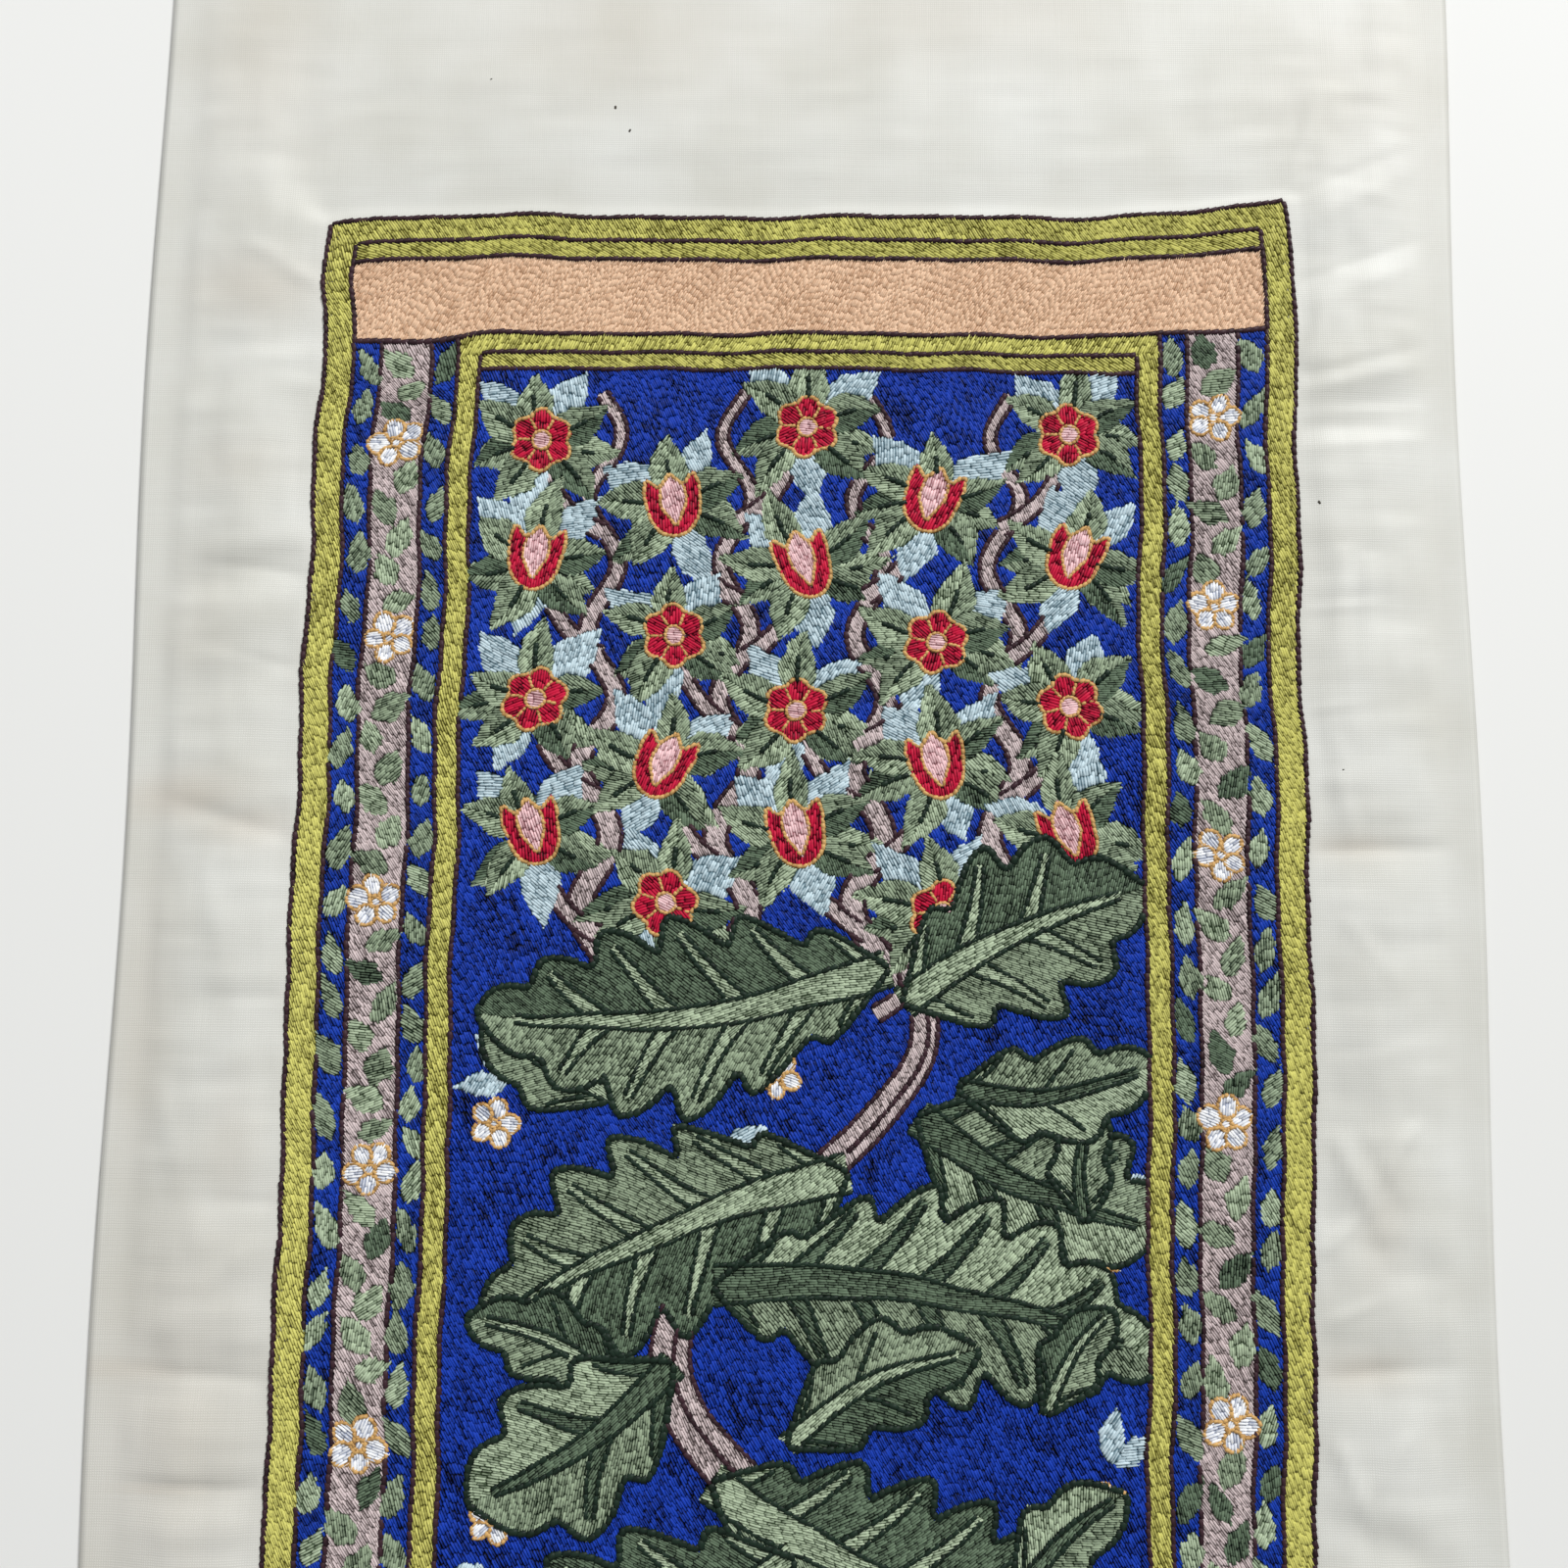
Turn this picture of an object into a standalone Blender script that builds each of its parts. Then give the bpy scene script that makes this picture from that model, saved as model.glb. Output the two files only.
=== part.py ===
"""Embroidered tapestry lying face up: one sheet of cloth with a raised stitched panel.

The origin is under the middle of the cloth, on the surface that it lies on.
+Y points to the head of the panel and +Z out of the stitched face.
"""
import math

import bpy
import numpy as np

MM = 0.001

# Driving sizes of the cloth, in metres
CLOTH_WIDTH = 300 * MM
CLOTH_LENGTH = 525 * MM
CLOTH_THICKNESS = 1.1 * MM
PANEL_WIDTH = 222 * MM
PANEL_LENGTH = 400 * MM
HEAD_MARGIN = 65 * MM

# Stitched bands from the panel's side edge inwards: name, width, height of the stitching
SIDE_BANDS = (
    ("outer green band", 6.5 * MM, 1.0 * MM),
    ("outer blue strip", 6.3 * MM, 0.7 * MM),
    ("mauve stripe", 11.4 * MM, 0.7 * MM),
    ("inner blue strip", 6.0 * MM, 0.7 * MM),
    ("inner green band", 5.3 * MM, 1.0 * MM),
)
# The same from the head and the foot inwards
END_BANDS = (
    ("outer green pair", 10.1 * MM, 1.0 * MM),
    ("peach band", 18.0 * MM, 0.8 * MM),
    ("inner green pair", 8.3 * MM, 1.0 * MM),
)
FIELD_RELIEF = 0.7 * MM
STEP_HALF_WIDTH = 0.5 * MM

# How far each side edge of the panel wanders from straight, outwards:
# distance down from the head, at the left edge, at the right edge
SIDE_WANDER = (
    (0, -1.6 * MM, -0.2 * MM),
    (15 * MM, -0.8 * MM, 1.1 * MM),
    (32 * MM, -1.7 * MM, 1.3 * MM),
    (60 * MM, -0.5 * MM, 1.0 * MM),
    (100 * MM, 0.0 * MM, 0.2 * MM),
    (150 * MM, 0.8 * MM, 0.4 * MM),
    (200 * MM, 0.4 * MM, 0.5 * MM),
    (230 * MM, -0.5 * MM, -0.5 * MM),
    (265 * MM, 0.4 * MM, -1.4 * MM),
    (300 * MM, -0.3 * MM, -2.1 * MM),
    (400 * MM, 0.0 * MM, -1.0 * MM),
)
# How far the head edge rises: distance across from the centre line, rise
HEAD_WANDER = (
    (-111 * MM, -2.4 * MM),
    (-100 * MM, -0.9 * MM),
    (-75 * MM, -0.2 * MM),
    (0, 0.0 * MM),
    (60 * MM, 0.3 * MM),
    (90 * MM, 1.8 * MM),
    (111 * MM, 5.2 * MM),
)
HEAD_WANDER_FADES_IN = 60 * MM

# The margins lie puffed between the pulls of the stitching: margin, height of the puff
PUFFS = {"left": 2.6 * MM, "right": 2.2 * MM, "head": 1.1 * MM, "foot": 1.2 * MM}
# Troughs across a margin: margin, place along it, half width, depth as a share of the puff,
# slant. A place is down from the head in a side margin, and from the centre line at an end.
TROUGHS = (
    ("left", 22 * MM, 9 * MM, 0.7, 0.45),
    ("left", 86 * MM, 6 * MM, 0.8, 0.10),
    ("left", 107 * MM, 6 * MM, 0.6, 0.15),
    ("left", 141 * MM, 7 * MM, 1.0, 0.30),
    ("left", 180 * MM, 5 * MM, 0.5, 0.05),
    ("left", 222 * MM, 6 * MM, 0.6, 0.00),
    ("left", 259 * MM, 7 * MM, 1.0, 0.05),
    ("left", 282 * MM, 5 * MM, 0.7, 0.05),
    ("left", 340 * MM, 7 * MM, 0.7, 0.00),
    ("right", 20 * MM, 8 * MM, 0.6, -0.60),
    ("right", 50 * MM, 7 * MM, 0.9, -0.20),
    ("right", 91 * MM, 5 * MM, 0.7, 0.00),
    ("right", 114 * MM, 5 * MM, 0.6, 0.00),
    ("right", 146 * MM, 7 * MM, 1.0, -0.05),
    ("right", 198 * MM, 5 * MM, 0.5, 0.05),
    ("right", 222 * MM, 7 * MM, 0.6, 0.55),
    ("right", 256 * MM, 7 * MM, 1.0, 0.00),
    ("right", 284 * MM, 6 * MM, 0.6, 0.50),
    ("right", 340 * MM, 7 * MM, 0.6, 0.00),
    ("head", -20 * MM, 5 * MM, 0.5, 0.00),
    ("head", 32 * MM, 6 * MM, 0.8, 0.00),
    ("head", 84 * MM, 6 * MM, 0.8, 0.15),
    ("foot", -45 * MM, 7 * MM, 0.7, 0.00),
    ("foot", 40 * MM, 7 * MM, 0.7, 0.00),
)
FLAT_RIM = 5 * MM
PUFF_SKEW = 0.8  # under 1, a puff is highest nearer to the stitching than to the rim

# The cloth's own edges bow in and out by this much, this many times along a side
EDGE_BOW = 0.8 * MM
EDGE_BOWS_ACROSS = 1.5
EDGE_BOWS_DOWN = 2.5
BOW_POWER_ACROSS = 4  # how soon the bow dies away from the edge, inwards
BOW_POWER_DOWN = 6

# Spacing of the sheet's rows and columns of points
WIDEST_ROW = 13 * MM
WIDEST_COLUMN = 28 * MM
NARROWEST = 2.4 * MM
MARGIN_COLUMNS = (0.35, 0.6, 0.82)  # as shares of the way from the panel to the cloth's edge

PANEL_HALF = PANEL_WIDTH / 2
CLOTH_HALF = CLOTH_WIDTH / 2
PANEL_HEAD = CLOTH_LENGTH / 2 - HEAD_MARGIN
PANEL_FOOT = PANEL_HEAD - PANEL_LENGTH
THREAD_COLOUR = (0.17, 0.19, 0.16, 1.0)


def total_width(bands):
    return sum(width for _, width, _ in bands)


SIDE_DEPTH = total_width(SIDE_BANDS)
END_DEPTH = total_width(END_BANDS)
TALLEST = max(relief for _, _, relief in SIDE_BANDS + END_BANDS)


def remove_everything():
    for thing in list(bpy.data.objects):
        bpy.data.objects.remove(thing)


def relief_in(bands, depth):
    """Height of the stitching at this depth in from the edge, or None past the last band."""
    edge = 0.0
    for _, width, relief in bands:
        edge += width
        if depth < edge:
            return relief
    return None


def relief_at(x, y):
    """Height of the stitching above the bare cloth, on the panel's straight plan."""
    side = PANEL_HALF - abs(x)
    end = min(PANEL_HEAD - y, y - PANEL_FOOT)
    if side < 0 or end < 0:
        return 0.0
    if side < SIDE_BANDS[0][1]:
        return SIDE_BANDS[0][2]
    frame_side = SIDE_DEPTH - SIDE_BANDS[-1][1]
    if end < END_DEPTH and (side > frame_side or end < END_DEPTH - END_BANDS[-1][1]):
        return relief_in(END_BANDS, end)
    inner = relief_in(SIDE_BANDS, side)
    return FIELD_RELIEF if inner is None else inner


def changes(bands, first_relief, last_relief):
    """Depths at which the height of the stitching changes."""
    depths = []
    edge = 0.0
    before = first_relief
    for _, width, relief in bands:
        if relief != before:
            depths.append(edge)
        before = relief
        edge += width
    if before != last_relief:
        depths.append(edge)
    return depths


def fill_in(fixed, wanted, widest):
    """Stations from the fixed ones, the wanted ones that have room, and even ones between."""
    stations = sorted(fixed)
    for place in wanted:
        if all(abs(place - other) > NARROWEST for other in stations):
            stations.append(place)
    stations.sort()
    filled = [stations[0]]
    for place in stations[1:]:
        gap = place - filled[-1]
        pieces = max(1, math.ceil(gap / widest))
        filled += [filled[-1] + gap * (i + 1) / pieces for i in range(pieces)]
    return filled


def step_pair(place):
    return [place - STEP_HALF_WIDTH, place + STEP_HALF_WIDTH]


def column_stations():
    """Places of the columns across the cloth: both edges, each step in height, the troughs."""
    fixed = [-CLOTH_HALF, CLOTH_HALF]
    for depth in changes(SIDE_BANDS, 0.0, FIELD_RELIEF):
        fixed += step_pair(depth - PANEL_HALF) + step_pair(PANEL_HALF - depth)
    margin = CLOTH_HALF - PANEL_HALF
    wanted = [FLAT_RIM - CLOTH_HALF, CLOTH_HALF - FLAT_RIM]
    for share in MARGIN_COLUMNS:
        wanted += [PANEL_HALF + margin * share, -PANEL_HALF - margin * share]
    wanted += [place for name, place, _, _, _ in TROUGHS if name in ("head", "foot")]
    return fill_in(fixed, wanted, WIDEST_COLUMN)


def row_stations():
    """Places of the rows down the cloth, closest where a trough crosses a side margin."""
    fixed = [-CLOTH_LENGTH / 2, CLOTH_LENGTH / 2]
    for depth in changes(END_BANDS, 0.0, FIELD_RELIEF):
        fixed += step_pair(PANEL_HEAD - depth) + step_pair(PANEL_FOOT + depth)
    wanted = []
    for name, place, half_width, _, _ in TROUGHS:
        if name in ("left", "right"):
            centre = PANEL_HEAD - place
            wanted += [centre, centre - half_width, centre + half_width]
    return fill_in(fixed, wanted, WIDEST_ROW)


def column_of(table, index):
    return [row[index] for row in table]


def wandered(x, y):
    """A point of the straight plan, moved as the hand-drawn and hand-cut edges wander."""
    down = PANEL_HEAD - y
    side = 1 if x < 0 else 2
    outwards = np.interp(down, column_of(SIDE_WANDER, 0), column_of(SIDE_WANDER, side))
    reach = abs(x)
    if reach <= PANEL_HALF:
        share = reach / PANEL_HALF
    else:
        share = (CLOTH_HALF - reach) / (CLOTH_HALF - PANEL_HALF)
    rise = np.interp(x, column_of(HEAD_WANDER, 0), column_of(HEAD_WANDER, 1))
    if y > PANEL_HEAD:
        rise_share = (CLOTH_LENGTH / 2 - y) / HEAD_MARGIN
    else:
        rise_share = max(0.0, 1 - down / HEAD_WANDER_FADES_IN)
    beyond = np.clip((CLOTH_HALF - reach) / (CLOTH_HALF - PANEL_HALF), 0, 1)
    bow_x = EDGE_BOW * math.sin(2 * math.pi * EDGE_BOWS_DOWN * y / CLOTH_LENGTH)
    bow_y = EDGE_BOW * math.sin(2 * math.pi * EDGE_BOWS_ACROSS * x / CLOTH_WIDTH)
    bow_x *= (reach / CLOTH_HALF) ** BOW_POWER_ACROSS
    bow_y *= abs(2 * y / CLOTH_LENGTH) ** BOW_POWER_DOWN
    return x + math.copysign(outwards * share, x) + bow_x, y + rise * rise_share * beyond + bow_y


def puff(name, out, along):
    """Height of one margin's underside, out from the panel's edge and at a place along it."""
    side_margin = name in ("left", "right")
    foot_margin = CLOTH_LENGTH - HEAD_MARGIN - PANEL_LENGTH
    margin = CLOTH_HALF - PANEL_HALF
    if not side_margin:
        margin = HEAD_MARGIN if name == "head" else foot_margin
    share = np.clip(out / (margin - FLAT_RIM), 0, 1)
    height = PUFFS[name] * math.sin(math.pi * share ** PUFF_SKEW)
    for margin_name, place, half_width, depth, slant in TROUGHS:
        if margin_name == name:
            away = (along - place - slant * out) / half_width
            height *= 1 - depth * math.exp(-away * away)
    return height


def underside_height(x, y):
    """The panel and the cloth's rim lie flat on the surface, and the margins rise between."""
    out_side = max(0.0, abs(x) - PANEL_HALF)
    out_head = max(0.0, y - PANEL_HEAD)
    out_foot = max(0.0, PANEL_FOOT - y)
    out_end = max(out_head, out_foot)
    if out_side == 0 and out_end == 0:
        return 0.0
    side = "left" if x < 0 else "right"
    end = "head" if out_head > 0 else "foot"
    side_share = out_side ** 2 / (out_side ** 2 + out_end ** 2)
    height = side_share * puff(side, out_side, PANEL_HEAD - y)
    height += (1 - side_share) * puff(end, out_end, x)
    rim = min(CLOTH_HALF - abs(x), CLOTH_LENGTH / 2 - abs(y))
    return height * np.clip(rim / FLAT_RIM - 1, 0, 1)


def stitched_cloth_material():
    material = bpy.data.materials.new("stitched_cloth")
    material.use_nodes = True
    shader = material.node_tree.nodes["Principled BSDF"]
    shader.inputs["Base Color"].default_value = THREAD_COLOUR
    shader.inputs["Roughness"].default_value = 0.75
    shader.inputs["Metallic"].default_value = 0.0
    return material


def make_cloth(collection):
    """The underside as a grid, thickened upwards, and more where the stitching covers it."""
    columns = column_stations()
    rows = row_stations()
    bpy.ops.mesh.primitive_grid_add(
        x_subdivisions=len(columns) - 1, y_subdivisions=len(rows) - 1, size=2
    )
    cloth = bpy.context.active_object
    cloth.name = "embroidered_cloth"
    stitching = cloth.vertex_groups.new(name="stitching")
    for index, point in enumerate(cloth.data.vertices):
        column = round((point.co.x + 1) / 2 * (len(columns) - 1))
        row = round((point.co.y + 1) / 2 * (len(rows) - 1))
        x, y = columns[column], rows[row]
        new_x, new_y = wandered(x, y)
        point.co = (new_x, new_y, underside_height(x, y))
        stitching.add([index], relief_at(x, y) / TALLEST, "REPLACE")
    thickness = cloth.modifiers.new("thickness", "SOLIDIFY")
    thickness.thickness = CLOTH_THICKNESS + TALLEST
    thickness.offset = 1.0
    thickness.vertex_group = stitching.name
    thickness.thickness_vertex_group = CLOTH_THICKNESS / (CLOTH_THICKNESS + TALLEST)
    cloth.data.materials.append(stitched_cloth_material())
    for other in list(cloth.users_collection):
        other.objects.unlink(cloth)
    collection.objects.link(cloth)
    return cloth


remove_everything()
tapestry = bpy.data.collections.new("embroidered_tapestry")
bpy.context.scene.collection.children.link(tapestry)
make_cloth(tapestry)
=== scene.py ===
"""Embroidered tapestry lying face up: the looks, stitch by stitch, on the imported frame."""
import math

import bpy
import numpy as np
from mathutils import Matrix


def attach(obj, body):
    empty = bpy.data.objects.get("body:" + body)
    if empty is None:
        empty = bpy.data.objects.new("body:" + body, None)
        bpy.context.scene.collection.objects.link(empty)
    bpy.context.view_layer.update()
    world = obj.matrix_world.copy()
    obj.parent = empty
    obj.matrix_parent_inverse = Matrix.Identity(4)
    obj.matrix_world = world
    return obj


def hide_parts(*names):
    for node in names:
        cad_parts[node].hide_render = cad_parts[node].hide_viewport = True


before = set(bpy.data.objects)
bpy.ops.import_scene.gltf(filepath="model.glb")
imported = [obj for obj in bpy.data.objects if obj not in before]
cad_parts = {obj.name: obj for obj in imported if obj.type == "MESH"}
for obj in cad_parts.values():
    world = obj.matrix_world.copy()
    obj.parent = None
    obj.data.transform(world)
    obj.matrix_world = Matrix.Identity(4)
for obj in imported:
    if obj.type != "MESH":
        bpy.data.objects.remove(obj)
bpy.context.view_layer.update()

# The ground is one length of fine off-white cloth, plain woven of silk and cotton, cut by hand.
# It carries all the stitching, which holds its middle flat and draws troughs across its margins.
MM = 0.001
CLOTH_WIDTH = 300.0
CLOTH_LENGTH = 525.0
CLOTH_THICKNESS = 0.5
PANEL_WIDTH = 222.0
PANEL_LENGTH = 400.0
HEAD_MARGIN = 65.0
CLOTH_HALF = CLOTH_WIDTH / 2
PANEL_HALF = PANEL_WIDTH / 2
FOOT_MARGIN = CLOTH_LENGTH - HEAD_MARGIN - PANEL_LENGTH
HEAD_UP = CLOTH_LENGTH / 2 - HEAD_MARGIN
# Height of the cloth's face at the panel's edge and further in, where the stitches hide it, then
# how far inside the edge that starts and how far outside it the stitches' backs lift the cloth
BACKED_HEIGHT = 1.2
COVERED_HEIGHT = 1.05
COVER_INSET = 0.5
LIFT_REACH = 2.1

# Down from the head, then how far the left and the right edge of the panel stand outwards
SIDE_WANDER = (
    (0, -1.6, -0.2),
    (15, -0.8, 1.1),
    (32, -1.7, 1.3),
    (60, -0.5, 1.0),
    (100, 0.0, 0.2),
    (150, 0.8, 0.4),
    (200, 0.4, 0.5),
    (230, -0.5, -0.5),
    (265, 0.4, -1.4),
    (300, -0.3, -2.1),
    (400, 0.0, -1.0),
)
# Across from the centre line, then how far the head edge rises
HEAD_WANDER = ((-111, -2.4), (-100, -0.9), (-75, -0.2), (0, 0.0), (60, 0.3), (90, 1.8), (111, 5.2))
HEAD_WANDER_FADES_IN = 60.0
EDGE_BOW = 0.8
EDGE_BOWS_ACROSS = 1.5
EDGE_BOWS_DOWN = 2.5
BOW_POWER_ACROSS = 4
BOW_POWER_DOWN = 6
# Places where the hand strayed: across, down, how far each way it reaches, then the shift
STRAYS = (
    (-96, -34, 20, 9, 0.0, -3.2),
    (-84, -40, 9, 12, 0.6, -1.0),
    (104, -14, 9, 10, 0.5, 0.4),
    (108, -34, 8, 9, 0.7, 0.0),
    (-108, -14, 8, 10, -0.5, -0.4),
    (74, -39, 12, 8, 0.0, -1.2),
)
# Each hand-drawn line also trembles: size, and the waves' lengths across and down the cloth,
# which are this many times longer the other way
TREMBLES = ((0.30, 83, 61), (0.22, 37, 47), (0.16, 23, 19))
OTHER_WAY = 3

# Margin, then the height of its puff between the pulls of the stitching
PUFFS = {"left": 2.6, "right": 1.9, "head": 0.8, "foot": 1.2}
PUFF_SKEW = 0.8
FLAT_RIM = 5.0
# Margin, place along it, half width, depth as a share of the puff, slant
TROUGHS = (
    ("left", 22, 11, 0.40, 0.45),
    ("left", 84, 5, 0.40, 0.16),
    ("left", 107, 5, 0.20, 0.20),
    ("left", 141, 8, 0.28, 0.30),
    ("left", 180, 4, 0.15, 0.05),
    ("left", 222, 5, 0.20, -0.06),
    ("left", 259, 7, 0.50, 0.05),
    ("left", 282, 4, 0.40, 0.08),
    ("left", 340, 7, 0.50, 0.00),
    ("right", 20, 8, 0.45, -0.60),
    ("right", 50, 6, 0.55, -0.25),
    ("right", 91, 5, 0.35, 0.05),
    ("right", 114, 4, 0.12, -0.08),
    ("right", 146, 6, 0.42, -0.05),
    ("right", 198, 5, 0.20, 0.20),
    ("right", 222, 6, 0.45, 0.55),
    ("right", 256, 7, 0.50, 0.00),
    ("right", 284, 5, 0.45, 0.50),
    ("right", 340, 7, 0.40, 0.00),
    ("head", -20, 5, 0.20, 0.00),
    ("head", 32, 6, 0.32, 0.05),
    ("head", 84, 6, 0.32, 0.15),
    ("foot", -45, 7, 0.4, 0.00),
    ("foot", 40, 7, 0.4, 0.00),
)
# Sharper creases: across and down the cloth at both ends, half width, height
CREASES = (
    ((111, 1), (122, 36), 1.6, 0.40),
    ((111, 0), (148, 22), 1.3, -0.22),
    ((112, -8), (146, 16), 2.4, 0.28),
    ((112, -19), (150, -1), 1.1, -0.28),
    ((113, -24), (150, -6), 2.2, 0.28),
    ((113, -37), (119, -20), 1.6, 0.50),
    ((112, -39), (150, -28), 1.1, -0.25),
    ((112, -42), (148, -33), 1.3, 0.25),
    ((112, -47), (148, -44), 1.2, 0.28),
    ((112, -50), (140, -49), 0.9, -0.17),
    ((112, -54), (150, -51), 1.3, 0.22),
    ((112, -91), (134, -90), 1.0, 0.28),
    ((112, -114), (130, -113), 1.0, 0.24),
    ((118, -120), (120, -138), 1.6, 0.25),
    ((112, -146), (150, -144), 1.5, -0.39),
    ((118, -160), (131, -176), 1.6, 0.28),
    ((113, -190), (134, -186), 1.4, -0.17),
    ((115, -206), (131, -238), 1.6, 0.50),
    ((119, -204), (135, -234), 1.2, -0.35),
    ((133, -204), (122, -222), 1.3, 0.60),
    ((113, -232), (126, -219), 1.2, 0.45),
    ((114, -246), (128, -240), 1.3, 0.32),
    ((112, -257), (150, -255), 1.6, -0.32),
    ((114, -268), (126, -296), 1.5, 0.55),
    ((130, -268), (118, -288), 1.3, 0.55),
    ((121, -76), (119, -104), 1.7, 0.60),
    ((127, -78), (126, -108), 1.7, 0.50),
    ((117, -128), (123, -150), 1.6, 0.35),
    ((-111, -16), (-134, -3), 2.2, 0.35),
    ((-110, -30), (-132, -36), 2.0, 0.21),
    ((-110, -86), (-140, -82), 1.2, -0.32),
    ((-111, -107), (-137, -101), 1.2, -0.24),
    ((-111, -145), (-150, -134), 2.0, -0.42),
    ((-120, -128), (-148, -124), 2.4, 0.21),
    ((-111, -180), (-132, -179), 1.1, -0.21),
    ((-111, -223), (-126, -222), 1.1, -0.21),
    ((-111, -260), (-150, -257), 1.7, -0.42),
    ((-112, -282), (-150, -280), 0.9, -0.35),
    ((-120, -50), (-128, -84), 2.4, 0.30),
    ((-131, -150), (-121, -186), 2.6, 0.35),
    ((-138, -196), (-126, -240), 3.0, 0.35),
    ((-118, -232), (-134, -252), 2.0, 0.30),
    ((-20, 2), (-18, 42), 1.2, 0.32),
    ((-2, 2), (8, 24), 1.8, 0.28),
    ((33, 2), (34, 30), 1.5, 0.40),
    ((37, 2), (40, 22), 1.1, -0.25),
    ((83, 3), (86, 30), 1.3, 0.42),
    ((96, 4), (110, 34), 2.2, 0.40),
    ((-84, 3), (-92, 22), 1.6, 0.22),
)
CREASE_SKEW = 0.6
# Loose ripples of the margins: size, and the waves' lengths across and down the cloth. Each bends
# by a share of its length, in bends that are longer than the wave itself.
RIPPLES = ((0.08, 46, 31), (0.08, -27, 38), (0.15, 27, 160), (0.05, 17, -14), (0.04, 9, 21))
RIPPLE_BEND = 0.4
BEND_ACROSS = 2.3
BEND_DOWN = 1.7
# Faint yellowish stains, and painted shade: thin bands along the margins' troughs and creases,
# and broad patches at the lower left and upper right that darken the cloth where the light falls
# too bright. Across, down, how far each way they reach, strength
STAINS_AND_PAINTED_SHADE = (
    (-126, -17, 15, 8, 0.45),
    (-138, -136, 15, 6, 0.60),
    (-122, -142, 12, 5, 0.45),
    (-144, -190, 8, 44, 0.30),
    (-140, -258, 20, 4, 0.55),
    (-134, -282, 16, 2.2, 0.55),
    (-128, 40, 16, 28, 0.30),
    (-40, 46, 44, 18, 0.25),
    (36, 50, 44, 14, 0.25),
    (121, -145, 10, 3, 0.45),
    (121, -256, 10, 4, 0.50),
    (126, -226, 5, 12, 0.25),
    (-134, -270, 24, 50, 0.36),
    (130, 36, 30, 30, 0.16),
    (-136, -96, 10, 16, 0.12),
    (-122, -212, 7, 15, 0.28),
    (-128, -60, 12, 7, 0.20),
)
# How far apart the cloth's points are
MARGIN_COLUMN = 1.5
COVERED_COLUMN = 4.4
CLOTH_ROW = 1.1
FOOT_ROW = 2.4


def spread(low, high, widest):
    """Even places from low to high, no further apart than the widest gap."""
    return list(np.linspace(low, high, 1 + math.ceil((high - low) / widest)))


def column_of(table, index):
    return [row[index] for row in table]


def wandered(x, y):
    """Places on the straight plan, x across and y up from the head, as the hand made them."""
    reach = np.abs(x)
    left = np.interp(-y, column_of(SIDE_WANDER, 0), column_of(SIDE_WANDER, 1))
    right = np.interp(-y, column_of(SIDE_WANDER, 0), column_of(SIDE_WANDER, 2))
    beyond = np.clip((CLOTH_HALF - reach) / (CLOTH_HALF - PANEL_HALF), 0, 1)
    share = np.where(reach <= PANEL_HALF, reach / PANEL_HALF, beyond)
    rise = np.interp(x, column_of(HEAD_WANDER, 0), column_of(HEAD_WANDER, 1))
    above = np.clip(1 - y / HEAD_MARGIN, 0, 1)
    rise_share = np.where(y > 0, above, np.clip(1 + y / HEAD_WANDER_FADES_IN, 0, 1))
    from_middle = y + HEAD_UP
    bow_x = EDGE_BOW * np.sin(2 * math.pi * EDGE_BOWS_DOWN * from_middle / CLOTH_LENGTH)
    bow_y = EDGE_BOW * np.sin(2 * math.pi * EDGE_BOWS_ACROSS * x / CLOTH_WIDTH)
    bow_x = bow_x * (reach / CLOTH_HALF) ** BOW_POWER_ACROSS
    bow_y = bow_y * np.abs(2 * from_middle / CLOTH_LENGTH) ** BOW_POWER_DOWN
    outwards = np.where(x < 0, left, right) * np.sign(x)
    new_x = x + outwards * share + bow_x
    new_y = y + rise * rise_share * beyond + bow_y
    for at_x, at_y, reach_x, reach_y, shift_x, shift_y in STRAYS:
        near = np.exp(-((x - at_x) / reach_x) ** 2 - ((y - at_y) / reach_y) ** 2)
        new_x = new_x + shift_x * near
        new_y = new_y + shift_y * near
    for size, across, down in TREMBLES:
        wave_x = np.sin(2 * math.pi * (y / down + x / across / OTHER_WAY))
        wave_y = np.sin(2 * math.pi * (x / across - y / down / OTHER_WAY))
        new_x = new_x + size * beyond * wave_x
        new_y = new_y + size * beyond * wave_y
    return new_x, new_y


def puff(name, out, along):
    """Height of one margin's underside, out from the panel's edge and at a place along it."""
    margin = {"head": HEAD_MARGIN, "foot": FOOT_MARGIN}.get(name, CLOTH_HALF - PANEL_HALF)
    share = np.clip(out / (margin - FLAT_RIM), 0, 1)
    height = PUFFS[name] * np.sin(math.pi * share ** PUFF_SKEW)
    for margin_name, place, half_width, depth, slant in TROUGHS:
        if margin_name == name:
            away = (along - place - slant * out) / half_width
            height = height * (1 - depth * np.exp(-away * away))
    return height


def crease_height(x, y):
    """Each sharper crease is a soft ridge or furrow that dies away at both of its ends."""
    height = np.zeros_like(x)
    for start, end, half_width, peak in CREASES:
        run_across, run_down = np.subtract(end, start)
        length = math.hypot(run_across, run_down)
        along = ((x - start[0]) * run_across + (y - start[1]) * run_down) / length ** 2
        away = ((x - start[0]) * run_down - (y - start[1]) * run_across) / length / half_width
        rise = np.sin(math.pi * np.clip(along, 0, 1) ** CREASE_SKEW)
        height = height + peak * np.exp(-away * away) * rise
    return height


def ripple_height(x, y):
    """Soft waves of several lengths, which bend as they go."""
    height = np.zeros_like(x)
    for size, across, down in RIPPLES:
        bend = np.sin(2 * math.pi * (x / across / BEND_ACROSS - y / down / BEND_DOWN))
        bend = RIPPLE_BEND * bend
        height = height + size * np.sin(2 * math.pi * (x / across + y / down + bend))
    return height


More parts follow.
